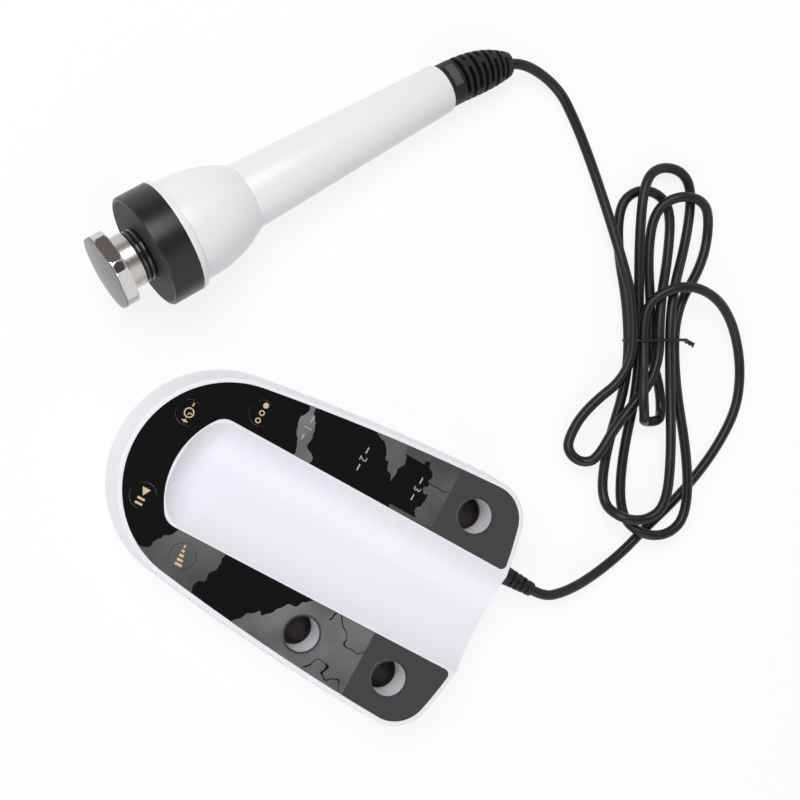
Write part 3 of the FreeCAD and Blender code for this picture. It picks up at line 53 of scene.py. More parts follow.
MM = 0.001
UP = Vector((0, 0, 1))
BASE = Vector((95.99, 11.04, 0)) * MM


def new_object(name, data):
    thing = bpy.data.objects.new(name, data)
    scene.collection.objects.link(thing)
    return thing


# Camera and lights; the lights' sizes and places are in metres

camera_data = bpy.data.cameras.new("table_camera")
camera_data.lens = 65.25
camera_data.sensor_width = 36
camera = new_object("table_camera", camera_data)
camera_spot = BASE + Vector((-9.7, -173.4, 718.4)) * MM
image_right = Vector((-0.47543, 0.83511, 0.27670)).normalized()
look = Vector((-0.09483, 0.26404, -0.95984)).normalized()
image_up = image_right.cross(look).normalized()
camera_turn = Matrix((image_right, image_up, -look)).transposed().to_4x4()
camera.matrix_world = Matrix.Translation(camera_spot) @ camera_turn
scene.camera = camera


def soft_light(name, spot, aim, width, depth, power):
    lamp = bpy.data.lights.new(name, "AREA")
    lamp.shape = "RECTANGLE"
    lamp.size = width
    lamp.size_y = depth
    lamp.energy = power
    thing = new_object(name, lamp)
    thing.location = spot
    thing.rotation_euler = (Vector(aim) - Vector(spot)).to_track_quat("-Z", "Y").to_euler()


soft_light("key_softbox", spot=(-0.35, -0.95, 1.9), aim=(0, 0, 0), width=1.6, depth=1.2, power=32)
soft_light("fill_softbox", spot=(1.3, 0.6, 1.4), aim=(0.05, 0, 0), width=1.0, depth=1.4, power=8)

# Shader nodes


def add_node(tree, kind, *sources, **settings):
    """A node with its plain settings, fed in order by sockets or values."""
    node = tree.nodes.new("ShaderNode" + kind)
    for label, value in settings.items():
        setattr(node, label, value)
    for socket, source in zip(node.inputs, sources):
        if isinstance(source, bpy.types.NodeSocket):
            tree.links.new(source, socket)
        elif source is not None:
            socket.default_value = source
    return node


def calculate(tree, operation, *sources, **settings):
    """The result of a Math node."""
    return add_node(tree, "Math", *sources, operation=operation, **settings).outputs[0]


def map_range(tree, value, source, target=(0.0, 1.0)):
    """A value taken from one span to another, and held at its ends."""
    return add_node(tree, "MapRange", value, *source, *target).outputs["Result"]


def noise(tree, place, scale, detail=2.0):
    return add_node(tree, "TexNoise", place, None, scale, detail).outputs["Fac"]


def mix_value(tree, share, one, other):
    return add_node(tree, "Mix", share, None, one, other, data_type="FLOAT").outputs[0]


def mix_colour(tree, share, one, other):
    """A colour from one to other; a Mix node has its two colours after five other sockets."""
    skipped = [None] * 5
    mix = add_node(tree, "Mix", share, *skipped, one, other, data_type="RGBA")
    return mix.outputs["Result"]


def object_place(tree):
    return add_node(tree, "TexCoord").outputs["Object"]


def facing_up(tree):
    """How far a surface faces up: 1 for a level top, 0 for a wall."""
    normal = add_node(tree, "NewGeometry").outputs["Normal"]
    return add_node(tree, "SeparateXYZ", normal).outputs["Z"]


def add_relief(tree, bsdf, height, strength, distance):
    relief = add_node(tree, "Bump")
    relief.inputs["Strength"].default_value = strength
    relief.inputs["Distance"].default_value = distance * MM
    tree.links.new(height, relief.inputs["Height"])
    tree.links.new(relief.outputs["Normal"], bsdf.inputs["Normal"])


def seen_directly(tree, share):
    """A socket that is share for rays that show a backdrop as it is, and 0 for those that light."""
    rays = add_node(tree, "LightPath").outputs
    mirror = calculate(tree, "MAXIMUM", rays["Is Camera Ray"], rays["Is Glossy Ray"])
    clear = calculate(tree, "MAXIMUM", mirror, rays["Is Transmission Ray"])
    return calculate(tree, "MULTIPLY", clear, share)


# The room: its lighting sides and its seen sides, the height where its ceiling begins and is full,
# and the doorway's direction, edge (cosines from its middle) and colour

ROOM_SIDES = [(0.42, 0.42, 0.44, 1), (1, 1, 1, 1)]
CEILING = (0.08, 0.08, 0.09, 1)
CEILING_EDGE = (0.8, 0.9)
DOORWAY_WAY = (-0.517, -0.691, 0.504)
DOORWAY_EDGE = (0.88, 0.97)
DOORWAY = (0.2, 0.16, 0.145, 1)


def studio_world():
    """A room with pale sides, white where it is seen, and a dark ceiling where the camera stands.

    One dark doorway gives polished metal something to reflect.
    """
    world = bpy.data.worlds.new("studio")
    scene.world = world
    world.use_nodes = True
    tree = world.node_tree
    tree.nodes.clear()
    way = add_node(tree, "TexCoord").outputs["Generated"]
    height = add_node(tree, "SeparateXYZ", way).outputs["Z"]
    nearness = add_node(tree, "VectorMath", way, DOORWAY_WAY, operation="DOT_PRODUCT")
    doorway = map_range(tree, nearness.outputs["Value"], DOORWAY_EDGE)
    backgrounds = []
    for sides in ROOM_SIDES:
        ramp = add_node(tree, "ValToRGB", height)
        for stop, place, colour in zip(ramp.color_ramp.elements, CEILING_EDGE, (sides, CEILING)):
            stop.position = place
            stop.color = colour
        shade = mix_colour(tree, doorway, ramp.outputs["Color"], DOORWAY)
        backgrounds.append(add_node(tree, "Background", shade).outputs[0])
    choice = add_node(tree, "MixShader", seen_directly(tree, 1.0), *backgrounds)
    add_node(tree, "OutputWorld", choice.outputs[0])


studio_world()

# Finishes


def shader_group(name, inputs, outputs):
    """An empty node group with its input and output nodes."""
    tree = bpy.data.node_groups.new(name, "ShaderNodeTree")
    for label, kind, default in inputs:
        socket = tree.interface.new_socket(label, in_out="INPUT", socket_type=kind)
        if default is not None:
            socket.default_value = default
    for label, kind in outputs:
        tree.interface.new_socket(label, in_out="OUTPUT", socket_type=kind)
    return tree, tree.nodes.new("NodeGroupInput"), tree.nodes.new("NodeGroupOutput")


def moulded_surface():
    """Fine moulding grain and a slow drift of tone, for every plastic and rubber piece."""
    tree, entry, result = shader_group(
        "moulded_surface",
        [
            ("Vector", "NodeSocketVector", None),
            ("Colour", "NodeSocketColor", (0.8, 0.8, 0.8, 1)),
            ("Shade", "NodeSocketColor", (0.7, 0.7, 0.7, 1)),
            ("Grain Scale", "NodeSocketFloat", 900.0),
            ("Smooth", "NodeSocketFloat", 0.2),
            ("Rough", "NodeSocketFloat", 0.3),
        ],
        [("Colour", "NodeSocketColor"), ("Roughness", "NodeSocketFloat"),
         ("Height", "NodeSocketFloat")],
    )
    given = entry.outputs
    drift = noise(tree, given["Vector"], scale=14, detail=4)
    grain = noise(tree, given["Vector"], scale=given["Grain Scale"], detail=3)
    tone = mix_colour(tree, drift, given["Colour"], given["Shade"])
    gloss = map_range(tree, drift, (0.15, 0.85), (given["Smooth"], given["Rough"]))
    for label, socket in (("Colour", tone), ("Roughness", gloss), ("Height", grain)):
        tree.links.new(socket, result.inputs[label])
    return tree


MOULDED = moulded_surface()


def new_material(name):
    material = bpy.data.materials.new(name)
    material.use_nodes = True
    tree = material.node_tree
    return material, tree, tree.nodes["Principled BSDF"]


def moulded(name, colour, shade, smooth, rough, grain=900.0, bump=0.02, shine=0.5):
    """Moulded plastic or rubber: colour drifts to shade, roughness from smooth to rough."""
    material, tree, bsdf = new_material(name)
    surface = add_node(tree, "Group", object_place(tree), (*colour, 1), (*shade, 1), grain, smooth,
                       rough, node_tree=MOULDED)
    tree.links.new(surface.outputs["Colour"], bsdf.inputs["Base Color"])
    tree.links.new(surface.outputs["Roughness"], bsdf.inputs["Roughness"])
    add_relief(tree, bsdf, surface.outputs["Height"], bump, distance=0.2)
    bsdf.inputs["Specular IOR Level"].default_value = shine
    return material


SHELL_WHITE = moulded("shell_white", (0.87, 0.87, 0.92), (0.85, 0.85, 0.9), 0.285, 0.33, bump=0.004)
HAND_WHITE = moulded("hand_white", (0.85, 0.85, 0.86), (0.83, 0.83, 0.84), 0.32, 0.36, bump=0.004)
COLLAR_BLACK = moulded("collar_black", (0.008, 0.008, 0.009), (0.013, 0.013, 0.014), 0.28, 0.34,
                       shine=0.4)
COLLAR_FACE = moulded("collar_face", (0.024, 0.024, 0.026), (0.036, 0.036, 0.038), 0.55, 0.7,
                      1200, 0.08, 0.4)
BOOT_PAD = moulded("boot_pad", (0.045, 0.044, 0.048), (0.066, 0.065, 0.069), 0.6, 0.75, 1400, 0.1)
RUBBER = moulded("soft_black", (0.006, 0.006, 0.007), (0.012, 0.012, 0.013), 0.42, 0.55,
                 1400, 0.12, 0.25)
CORD_BLACK = moulded("cord_black", (0.005, 0.005, 0.006), (0.01, 0.01, 0.011), 0.3, 0.42,
                     1600, 0.06, 0.3)
SEAL_GLOSS = moulded("seal_gloss", (0.008, 0.008, 0.008), (0.014, 0.013, 0.012), 0.06, 0.14, bump=0.01)
PAD_BROWN = moulded("pad_brown", (0.022, 0.013, 0.01), (0.04, 0.024, 0.019), 0.35, 0.5, 700, 0.1)
BOARD_GREEN = moulded("board_green", (0.02, 0.11, 0.05), (0.03, 0.15, 0.07), 0.3, 0.45)
DARK_PLASTIC = moulded("dark_plastic", (0.02, 0.02, 0.022), (0.035, 0.035, 0.037), 0.35, 0.5)
FERRITE = moulded("ferrite", (0.05, 0.05, 0.055), (0.08, 0.08, 0.085), 0.5, 0.7, 500, 0.2)
RIBBON_GREY = moulded("ribbon_grey", (0.42, 0.42, 0.44), (0.5, 0.5, 0.52), 0.4, 0.55)
CAN_BLUE = moulded("can_blue", (0.03, 0.05, 0.16), (0.05, 0.07, 0.2), 0.25, 0.35)
INSULATOR = moulded("insulator_cream", (0.62, 0.56, 0.45), (0.7, 0.64, 0.53), 0.45, 0.6)
LEAD_RED = moulded("lead_red", (0.42, 0.02, 0.015), (0.5, 0.03, 0.02), 0.35, 0.5)
LENS = moulded("lamp_lens", (0.6, 0.6, 0.63), (0.7, 0.7, 0.73), 0.1, 0.2)
DISPLAY = moulded("display_face", (0.03, 0.006, 0.006), (0.05, 0.01, 0.01), 0.1, 0.2)
COPPER = moulded("winding_copper", (0.5, 0.2, 0.08), (0.6, 0.28, 0.12), 0.3, 0.45, 600, 0.3)
GOLD_INK = moulded("gold_ink", (0.62, 0.43, 0.2), (0.7, 0.52, 0.28), 0.35, 0.5)
SILVER_INK = moulded("silver_ink", (0.36, 0.36, 0.37), (0.45, 0.45, 0.46), 0.35, 0.5)

MARK_STRETCH = (0.03, 0.03, 1)
MARK_SHADE = 0.82


def turned_metal(name, colour, smooth, rough, scratch, bump, place_on=None):
    """Machined metal with turning marks round the axis of place_on, a frame in the object."""
    material, tree, bsdf = new_material(name)
    place = object_place(tree)
    if place_on:
        turn = add_node(tree, "Mapping", place, place_on.translation, place_on.to_euler(),
                        vector_type="TEXTURE")
        place = turn.outputs["Vector"]
    stretch = add_node(tree, "VectorMath", place, MARK_STRETCH, operation="MULTIPLY")
    marks = noise(tree, stretch.outputs[0], scratch, detail=6)
    shade = [part * MARK_SHADE for part in colour]
    tone = mix_colour(tree, marks, (*colour, 1), (*shade, 1))
    gloss = map_range(tree, marks, (0.0, 1.0), (smooth, rough))
    tree.links.new(tone, bsdf.inputs["Base Color"])
    tree.links.new(gloss, bsdf.inputs["Roughness"])
    add_relief(tree, bsdf, marks, bump, distance=0.1)
    bsdf.inputs["Metallic"].default_value = 1
    return material


# The overlay. Grey patches where air is trapped under it: arm, first edge and its slant, last edge
# and its slant, from and to across the arm (0 at the cradle, 1 at the rim), grey. Edges are
# millimetres along the base unit from its middle, and wander to both sides. Creases and the grey
# tails begin that far along too, and ARM_REACH is an arm's span to the side.

TRAPPED_AIR = [
    ("left", -20.6, -4.6, -8.7, -13.5, -1, 2, 0.21),
    ("left", 41, -31, 29, 0, 0.36, 2, 0.15),
    ("left", 28, 0, 43, 0, 0.86, 2, 0.12),
    ("left", 53, -10.5, 62, 0, -1, 2, 0.1),
    ("left", 36, 0, 62, 0, -1, 0.1, 0.09),
    ("right", -49, -30, -23.5, -9.5, -1, 2, 0.12),
    ("right", 24, -36, 62, 0, -1, 2, 0.16),
]
EDGE_WANDER = 5
ARM_REACH = (27, 60)
CREASES_FROM = 35
TAIL_EDGE = (58.8, 59.2)
PANEL_BLACK = 0.0055
CREASE_BLACK = 0.006
CREASE_BAND = 0.004
TAIL_GREY = 0.062


def past_edge(tree, along, across, start, slope):
    """1 past a slanted edge over an arm of the overlay, 0 before it."""
    limit = calculate(tree, "MULTIPLY_ADD", across, slope, start)
    return calculate(tree, "GREATER_THAN", along, limit)


def both(tree, one, other):
    return calculate(tree, "MULTIPLY", one, other)


def panel_finish():
    """Gloss black overlay: grey patches of trapped air along its arms, and evenly grey tails."""
    material, tree, bsdf = new_material("panel_gloss")
    place = object_place(tree)
    offset = add_node(tree, "VectorMath", place, BASE, operation="SUBTRACT").outputs[0]
    per_metre = Vector((1, 1, 1)) / MM
    spot = add_node(tree, "VectorMath", offset, per_metre, operation="MULTIPLY").outputs[0]
    sideways, straight, _ = add_node(tree, "SeparateXYZ", spot).outputs
    reach = calculate(tree, "ABSOLUTE", sideways)
    arms = {
        "left": calculate(tree, "LESS_THAN", sideways, 0.0),
        "right": calculate(tree, "GREATER_THAN", sideways, 0.0),
    }
    across = map_range(tree, reach, ARM_REACH)
    drift = noise(tree, place, scale=95)
    wander = map_range(tree, drift, (0.2, 0.8), (-EDGE_WANDER, EDGE_WANDER))
    along = calculate(tree, "ADD", straight, wander)
    cloud = map_range(tree, noise(tree, place, scale=38), (0.3, 0.7), (0.65, 1.2))
    grey = PANEL_BLACK
    for arm, start, slant, stop, stop_slant, inner, outer, tone in TRAPPED_AIR:
        begun = past_edge(tree, along, across, start, slant)
        ended = past_edge(tree, along, across, stop, stop_slant)
        within = calculate(tree, "SUBTRACT", begun, ended, use_clamp=True)
        low = calculate(tree, "GREATER_THAN", across, inner)
        high = calculate(tree, "LESS_THAN", across, outer)
        mask = both(tree, both(tree, within, arms[arm]), both(tree, low, high))
        grey = mix_value(tree, mask, grey, both(tree, cloud, tone))
    middle = calculate(tree, "SUBTRACT", noise(tree, place, scale=24, detail=3), 0.5)
    line = calculate(tree, "LESS_THAN", calculate(tree, "ABSOLUTE", middle), CREASE_BAND)
    creased = calculate(tree, "GREATER_THAN", straight, CREASES_FROM)
    grey = mix_value(tree, both(tree, line, creased), grey, CREASE_BLACK)
    tail = map_range(tree, straight, TAIL_EDGE)
    grey = mix_value(tree, tail, grey, TAIL_GREY)
    haze = map_range(tree, grey, (0.0, 0.2), (0.07, 0.3))
    wall = map_range(tree, facing_up(tree), (0.3, 0.9), (0.9, 0.0))
    tree.links.new(grey, bsdf.inputs["Base Color"])
    tree.links.new(calculate(tree, "MAXIMUM", haze, wall), bsdf.inputs["Roughness"])
    return material


PANEL = panel_finish()

LIP_DARK = (0.05, 0.05, 0.052, 1)
# The sleeve's wall is coloured dark brown below this height, so each socket is darker towards its
# bottom.
LOW_WALL_BROWN = (0.03, 0.019, 0.016, 1)
BROWN_WALL_TOP = 20


def socket_finish():
    """White sleeve of a probe socket: its lip dark like the overlay, its wall dark brown low down."""
    material = moulded("socket_sleeve", (0.86, 0.86, 0.9), (0.83, 0.83, 0.87), 0.29, 0.34, bump=0.004)
    tree = material.node_tree
    base_colour = tree.nodes["Principled BSDF"].inputs["Base Color"]
    colour = base_colour.links[0].from_socket
    height = add_node(tree, "SeparateXYZ", object_place(tree)).outputs["Z"]
    lip = calculate(tree, "GREATER_THAN", facing_up(tree), 0.7)
    low_wall = calculate(tree, "LESS_THAN", height, BROWN_WALL_TOP * MM)
    for mask, dark in ((lip, LIP_DARK), (low_wall, LOW_WALL_BROWN)):
        colour = mix_colour(tree, mask, colour, dark)
    tree.links.new(colour, base_colour)
    return material


SOCKET_SLEEVE = socket_finish()

# Handpiece frame: Z along its axis towards the cord from the back of its collar, X to the side its
# boot bends to. It lies on its flange and on the end of its barrel.

FLANGE_RADIUS = 28.5
FLANGE_WIDTH = 3
BARREL_END_RADIUS = 12.6
BARREL_END = 160.5
REST_SPAN = 155.5
TILT = math.atan2(FLANGE_RADIUS - BARREL_END_RADIUS, REST_SPAN)
HEADING = math.radians(149.16)
ahead = Vector((math.cos(HEADING), math.sin(HEADING), 0))
beside = Vector((ahead.y, -ahead.x, 0))
hand_axis = ahead * math.cos(TILT) - UP * math.sin(TILT)
hand_height = FLANGE_RADIUS * math.cos(TILT) + FLANGE_WIDTH * math.sin(TILT)
hand_turn = Matrix((beside, hand_axis.cross(beside), hand_axis)).transposed().to_4x4()
HAND = Matrix.Translation(Vector((5.29, -108.81, hand_height)) * MM) @ hand_turn

BRUSHED = turned_metal("probe_brushed", (0.62, 0.59, 0.56), 0.18, 0.38, 1500, 0.12, HAND)
POLISHED = turned_metal("probe_polished", (0.7, 0.68, 0.66), 0.05, 0.12, 500, 0.01, HAND)
SATIN = turned_metal("probe_satin", (0.22, 0.22, 0.23), 0.26, 0.38, 900, 0.05, HAND)
SCREW_STEEL = turned_metal("screw_steel", (0.55, 0.55, 0.56), 0.25, 0.4, 900, 0.05)
ALUMINIUM = turned_metal("sink_aluminium", (0.7, 0.7, 0.72), 0.3, 0.45, 900, 0.05)
BRASS = turned_metal("bushing_brass", (0.7, 0.52, 0.24), 0.2, 0.35, 900, 0.05)


def finish_piece(name, form, finishes, body, stands_for=(), edge=0.0, smooth=True):
    """A finished object from a bmesh, riding on a body in place of CAD nodes."""
    mesh = bpy.data.meshes.new(name)
    bmesh.ops.recalc_face_normals(form, faces=form.faces)
    form.to_mesh(mesh)
    form.free()
    for finish in finishes:
        mesh.materials.append(finish)
    for face in mesh.polygons:
        face.use_smooth = smooth
    thing = new_object(name, mesh)
    if edge:
        rounding = thing.modifiers.new("edges", "BEVEL")
        rounding.width = edge * MM
        rounding.segments = 3
        rounding.limit_method = "ANGLE"
        rounding.angle_limit = math.radians(28)
        rounding.harden_normals = True
    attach(thing, body)
    if stands_for:
        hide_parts(*stands_for)
    return thing


WELD = 1e-6
SLIVER = 1e-7


def lathe(profile, steps=128, closed=True):
    """A form turned about Z from (radius, height) corners in millimetres."""
    form = bmesh.new()
    ring = [form.verts.new((radius * MM, 0, height * MM)) for radius, height in profile]
    pairs = list(zip(ring, ring[1:]))
    if closed:
        pairs.append((ring[-1], ring[0]))
    for pair in pairs:
        form.edges.new(pair)
    bmesh.ops.spin(
        form, geom=form.verts[:] + form.edges[:], cent=(0, 0, 0), axis=UP,
        angle=math.tau, steps=steps, use_merge=True,
    )
    bmesh.ops.remove_doubles(form, verts=form.verts, dist=WELD)
    bmesh.ops.dissolve_degenerate(form, edges=form.edges, dist=SLIVER)
    return form


def on_hand(form):
    bmesh.ops.transform(form, matrix=HAND, verts=form.verts)
    return form


def bow(start, end, radius, steps):
    """Corners along an arc in a profile, bulging away from the axis."""
    (r0, z0), (r1, z1) = start, end
    way = math.copysign(1, z1 - z0)
    chord = math.hypot(r1 - r0, z1 - z0)
    half = math.asin(chord / 2 / radius)
    corners = []
    for step in range(steps + 1):
        angle = half * (2 * step / steps - 1)
        along = 0.5 + math.sin(angle) / (2 * math.sin(half))
        rise = way * radius * (math.cos(angle) - math.cos(half))
        r = r0 + (r1 - r0) * along + rise * (z1 - z0) / chord
        z = z0 + (z1 - z0) * along - rise * (r1 - r0) / chord
        corners.append((r, z))
    return corners


# Handpiece shells: the bell with its flange, and the barrel that starts inside it

BELL_WALL = 2.2
BELL_END = 40.2
BELL_BULGE = 60
BELL_STEPS = 28
bell_mouth = (25.6, FLANGE_WIDTH)
bell_neck = (16.8, BELL_END)
bell_inner = bow((bell_mouth[0] - BELL_WALL, FLANGE_WIDTH), (bell_neck[0] - BELL_WALL, BELL_END),
                 BELL_BULGE - BELL_WALL, BELL_STEPS)
bell = lathe(
    [(bell_mouth[0] - BELL_WALL, 0), (28.2, 0), (FLANGE_RADIUS, 0.3), (FLANGE_RADIUS, 1.5),
     (28.0, 1.9), (28.0, 2.7), (27.6, FLANGE_WIDTH)]
    + bow(bell_mouth, bell_neck, BELL_BULGE, BELL_STEPS) + bell_inner[::-1]
)
finish_piece("bell_shell", on_hand(bell), [HAND_WHITE], "handpiece", ["bell_housing"],
             0.25)

barrel = lathe([
    (7.0, BARREL_END), (10.9, BARREL_END), (12.0, 160.0), (BARREL_END_RADIUS, 158.8),
    (16.75, 40.6), (16.6, BELL_END), (14.4, BELL_END), (14.4, 34.2), (12.2, 34.2), (10.4, 157.5),
    (7.0, 157.5),
])
finish_piece("barrel_shell", on_hand(barrel), [HAND_WHITE], "handpiece", ["barrel"],
             0.3)

# The collar's front: a rolled outer lip round a matt face that lies a little lower

COLLAR_RADIUS = 28.3
COLLAR_INNER = 25.3
COLLAR_FRONT = -15.5
COLLAR_FACE_LEVEL = -15.1
COLLAR_LIP = 1.3
MATT_WITHIN = 26.1
MATT_FROM = -14.9
collar_mouth = (26.2, COLLAR_FACE_LEVEL)
collar = lathe(
    [(COLLAR_INNER, 0), (COLLAR_RADIUS, 0)]
    + bow((COLLAR_RADIUS, COLLAR_FRONT + COLLAR_LIP), (COLLAR_RADIUS - COLLAR_LIP, COLLAR_FRONT),
          COLLAR_LIP, 8)
    + bow((26.9, COLLAR_FRONT), collar_mouth, 0.6, 4)[1:]
    + [(14.2, COLLAR_FACE_LEVEL), (13.9, -15.3), (9.2, -15.3), (9.2, -12.5), (COLLAR_INNER, -12.5)]
)
for face in collar.faces:
    middle = face.calc_center_median()
    face.material_index = int(middle.z < MATT_FROM * MM and middle.xy.length < MATT_WITHIN * MM)
finish_piece("collar_ring", on_hand(collar), [COLLAR_BLACK, COLLAR_FACE], "handpiece", ["collar"],
             0.12)

SEAL_RADIUS = 12.7
SEAL_BORE = 6.3
SEAL_ENDS = (-15.6, -20.6)
SEAL_BEADS = [(-15.7, -18.0), (-18.2, -20.5)]
seal_profile = [(SEAL_BORE, SEAL_ENDS[0]), (SEAL_RADIUS, SEAL_ENDS[0])]
for bead_start, bead_end in SEAL_BEADS:
    seal_profile += bow((SEAL_RADIUS, bead_start), (SEAL_RADIUS, bead_end), 1.6, 8)
seal = lathe(seal_profile + [(SEAL_RADIUS, SEAL_ENDS[1]), (SEAL_BORE, SEAL_ENDS[1])])
finish_piece("seal_gasket", on_hand(seal), [SEAL_GLOSS], "seal", ["seal_ring"], 0.1)

DISC_BACK = -29.4
STUD_RADIUS = 6.0
STUD_END = -7.7
STEM_RADIUS = 13.2
STEM_BACK = -20.7
stem = lathe([
    (0, STUD_END), (5.4, STUD_END), (STUD_RADIUS, -8.3), (STUD_RADIUS, STEM_BACK),
    (12.4, STEM_BACK), (STEM_RADIUS, -21.5), (STEM_RADIUS, DISC_BACK), (0, DISC_BACK),
], closed=False)
finish_piece("stem_turned", on_hand(stem), [BRUSHED], "probe", ["probe_stem"], 0.15)

DISC_CORNER = 19.6
DISC_FLAT = 18.15
DISC_FACET = math.tau / 6
FLAT_MARGIN = 0.06
DOME_EDGE = (18.3, -36.2)
DOME_TOP = (0, -37.3)
DOME_RADIUS = 152.8
SATIN_FROM = -35.6


def probe_disc():
    """A turned disc with six flats milled into its edge; its domed front has a duller finish."""
    form = lathe(
        [(0, DISC_BACK), (17.9, DISC_BACK)] + bow((18.9, DISC_BACK), (DISC_CORNER, -30.1), 0.7, 4)
        + [(DISC_CORNER, -32.6)] + bow((DISC_CORNER, -34.9), DOME_EDGE, 1.3, 8)
        + bow(DOME_EDGE, DOME_TOP, DOME_RADIUS, 8)[1:], 96, closed=False,
    )
    milled = set()
    for vert in form.verts:
        turn = math.atan2(vert.co.y, vert.co.x) + math.pi / 2
        limit = DISC_FLAT / math.cos(turn % DISC_FACET - DISC_FACET / 2) * MM
        reach = vert.co.xy.length
        if reach > limit - FLAT_MARGIN * MM:
            milled.add(vert)
        if reach > limit:
            vert.co.xy *= limit / reach
    on_flat = {face for face in form.faces if milled.issuperset(face.verts)}
    for edge in form.edges:
        edge.smooth = len([face for face in edge.link_faces if face in on_flat]) != 1
    for face in form.faces:
        face.material_index = int(face.calc_center_median().z < SATIN_FROM * MM)
    return form


finish_piece("probe_disc", on_hand(probe_disc()), [POLISHED, SATIN], "probe", ["probe_head"],
             0.1)

# Boots: a turned taper with rows of slots sunk into it, each row's webs a quarter turn on.
# Angles round a boot are in degrees.

SLOT_RIM = 0.15
FIRST_WEB = -30
BOOT_CORE = 2.5


def sink_faces(form, low, high, first, last, rim, depth):
    """Insets the outer faces between two heights and two angles, then sinks or raises them."""
    faces = []
    span = (last - first) % 360
    for face in form.faces:
        middle = face.calc_center_median()
        turn = (math.degrees(math.atan2(middle.y, middle.x)) - first) % 360
        outside = face.normal.xy.length > 0.5 and middle.xy.length > BOOT_CORE * MM
        if outside and low * MM < middle.z < high * MM and turn < span:
            faces.append(face)
    bmesh.ops.inset_region(form, faces=faces, thickness=rim * MM, depth=depth * MM,
                           use_even_offset=True)
    return faces


def slotted_boot(stations, rows, steps, web, sink):
    """A turned boot; web is the angle between a row's two slots, sink each row's depth."""
    form = lathe(stations, steps, closed=False)
    bmesh.ops.recalc_face_normals(form, faces=form.faces)
    for row, (low, high) in enumerate(rows):
        for side in (0, 180):
            start = FIRST_WEB - 90 * (row % 2) + side
            sink_faces(form, low, high, start + web / 2, start + 180 - web / 2, SLOT_RIM, -sink[row])
    return form


BOOT_BEND = math.radians(18)
BOOT_LENGTH = 39.0
BOOT_CURVE = BOOT_LENGTH / BOOT_BEND
BOOT_RADIUS = 11.4
BOOT_NARROWING = 5.6
BOOT_BELLY = 2.8
BOOT_COLLAR = 7
LEVEL_FROM = 12


def boot_lift(z):
    """How far the boot's axis has risen from the handpiece's; it lies level past LEVEL_FROM."""
    return math.tan(TILT) * (z * z / (2 * LEVEL_FROM) if z < LEVEL_FROM else z - LEVEL_FROM / 2)


def bend_boot(form):
    """Levels the handpiece's boot with the table, bends it to the side, and sets it on the barrel."""
    radius = BOOT_CURVE * MM
    for vert in form.verts:
        if vert.co.z > 0:
            vert.co.y -= boot_lift(vert.co.z / MM) * MM
            angle = vert.co.z / radius
            out = radius - vert.co.x
            vert.co.x = radius - out * math.cos(angle)
            vert.co.z = out * math.sin(angle)
    shift = HAND @ Matrix.Translation((0, 0, BARREL_END * MM))
    bmesh.ops.transform(form, matrix=shift, verts=form.verts)
    return form


def boot_taper(z):
    """Radius of the handpiece boot: a plain collar, then a full-bellied taper."""
    share = max(z - BOOT_COLLAR, 0) / (BOOT_LENGTH - BOOT_COLLAR)
    return BOOT_RADIUS - BOOT_NARROWING * share ** BOOT_BELLY


HAND_ROWS = [(z - half, z + half) for z, half in (
    (9.2, 1.05), (13.0, 1.0), (16.8, 1.0), (20.5, 0.95), (24.1, 0.95), (27.6, 0.9),
    (31.0, 0.85), (34.2, 0.8),
)]
HAND_SINKS = [3.4, 3.4, 3.3, 3.2, 3.0, 2.7, 2.3, 1.8]
PAD_LOW = 1.6
PAD_HIGH = 6.6
hand_stations = [(0, -5), (6.6, -5), (6.6, 0), (11.1, 0)]
hand_stations += [(BOOT_RADIUS, z) for z in (0.3, PAD_LOW, PAD_HIGH, BOOT_COLLAR)]
for hand_row in HAND_ROWS:
    hand_stations += [(boot_taper(z), z) for z in hand_row]
hand_stations += [(boot_taper(z), z) for z in (36.6, 38)]
hand_stations += [(5.4, 38.7), (4.8, BOOT_LENGTH), (0, BOOT_LENGTH)]
hand_boot = slotted_boot(hand_stations, HAND_ROWS, steps=96, web=26, sink=HAND_SINKS)
for face in sink_faces(hand_boot, PAD_LOW, PAD_HIGH, first=-140, last=-76, rim=0.25, depth=0.5):
    face.material_index = 1
finish_piece("handle_relief", bend_boot(hand_boot), [RUBBER, BOOT_PAD], "handpiece",
             ["handle_boot"], 0.16)

TAIL_BOOT_LENGTH = 21
TAIL_TAPER_FROM = 5.5
TAIL_BOOT_RADIUS = 4.9
TAIL_NARROWING = 1.2
TAIL_ROWS = [(6.4 + 3.3 * row, 7.9 + 3.3 * row) for row in range(4)]
TAIL_SINKS = [1.1, 1.0, 0.95, 0.85]


def tail_taper(z):
    """Radius of the base unit's boot past its plain part."""
    share = (z - TAIL_TAPER_FROM) / (TAIL_BOOT_LENGTH - TAIL_TAPER_FROM)
    return TAIL_BOOT_RADIUS - TAIL_NARROWING * share


tail_stations = [(0, -8.3), (6.6, -8.3), (6.6, -6.3), (4.6, -6.3), (4.6, 0), (TAIL_BOOT_RADIUS, 0),
                 (TAIL_BOOT_RADIUS, TAIL_TAPER_FROM)]
for tail_row in TAIL_ROWS:
    tail_stations += [(tail_taper(z), z) for z in tail_row]
tail_stations += [(3.75, 20.5), (3.4, TAIL_BOOT_LENGTH), (0, TAIL_BOOT_LENGTH)]
tail_boot = slotted_boot(tail_stations, TAIL_ROWS, steps=64, web=34, sink=TAIL_SINKS)
tail_spot = BASE + Vector((-27.5, 110.8, 15)) * MM
bmesh.ops.transform(
    tail_boot, matrix=Matrix.Translation(tail_spot) @ Matrix.Rotation(-math.pi / 2, 4, "X"),
    verts=tail_boot.verts,
)
finish_piece("tail_relief", tail_boot, [RUBBER], "base", ["base_boot"], 0.12)

# Cord: one smooth line from boot to boot, through the hank. Places in the hank are shares of
# its reach across and along it, and heights in steps of one cord with its gap.

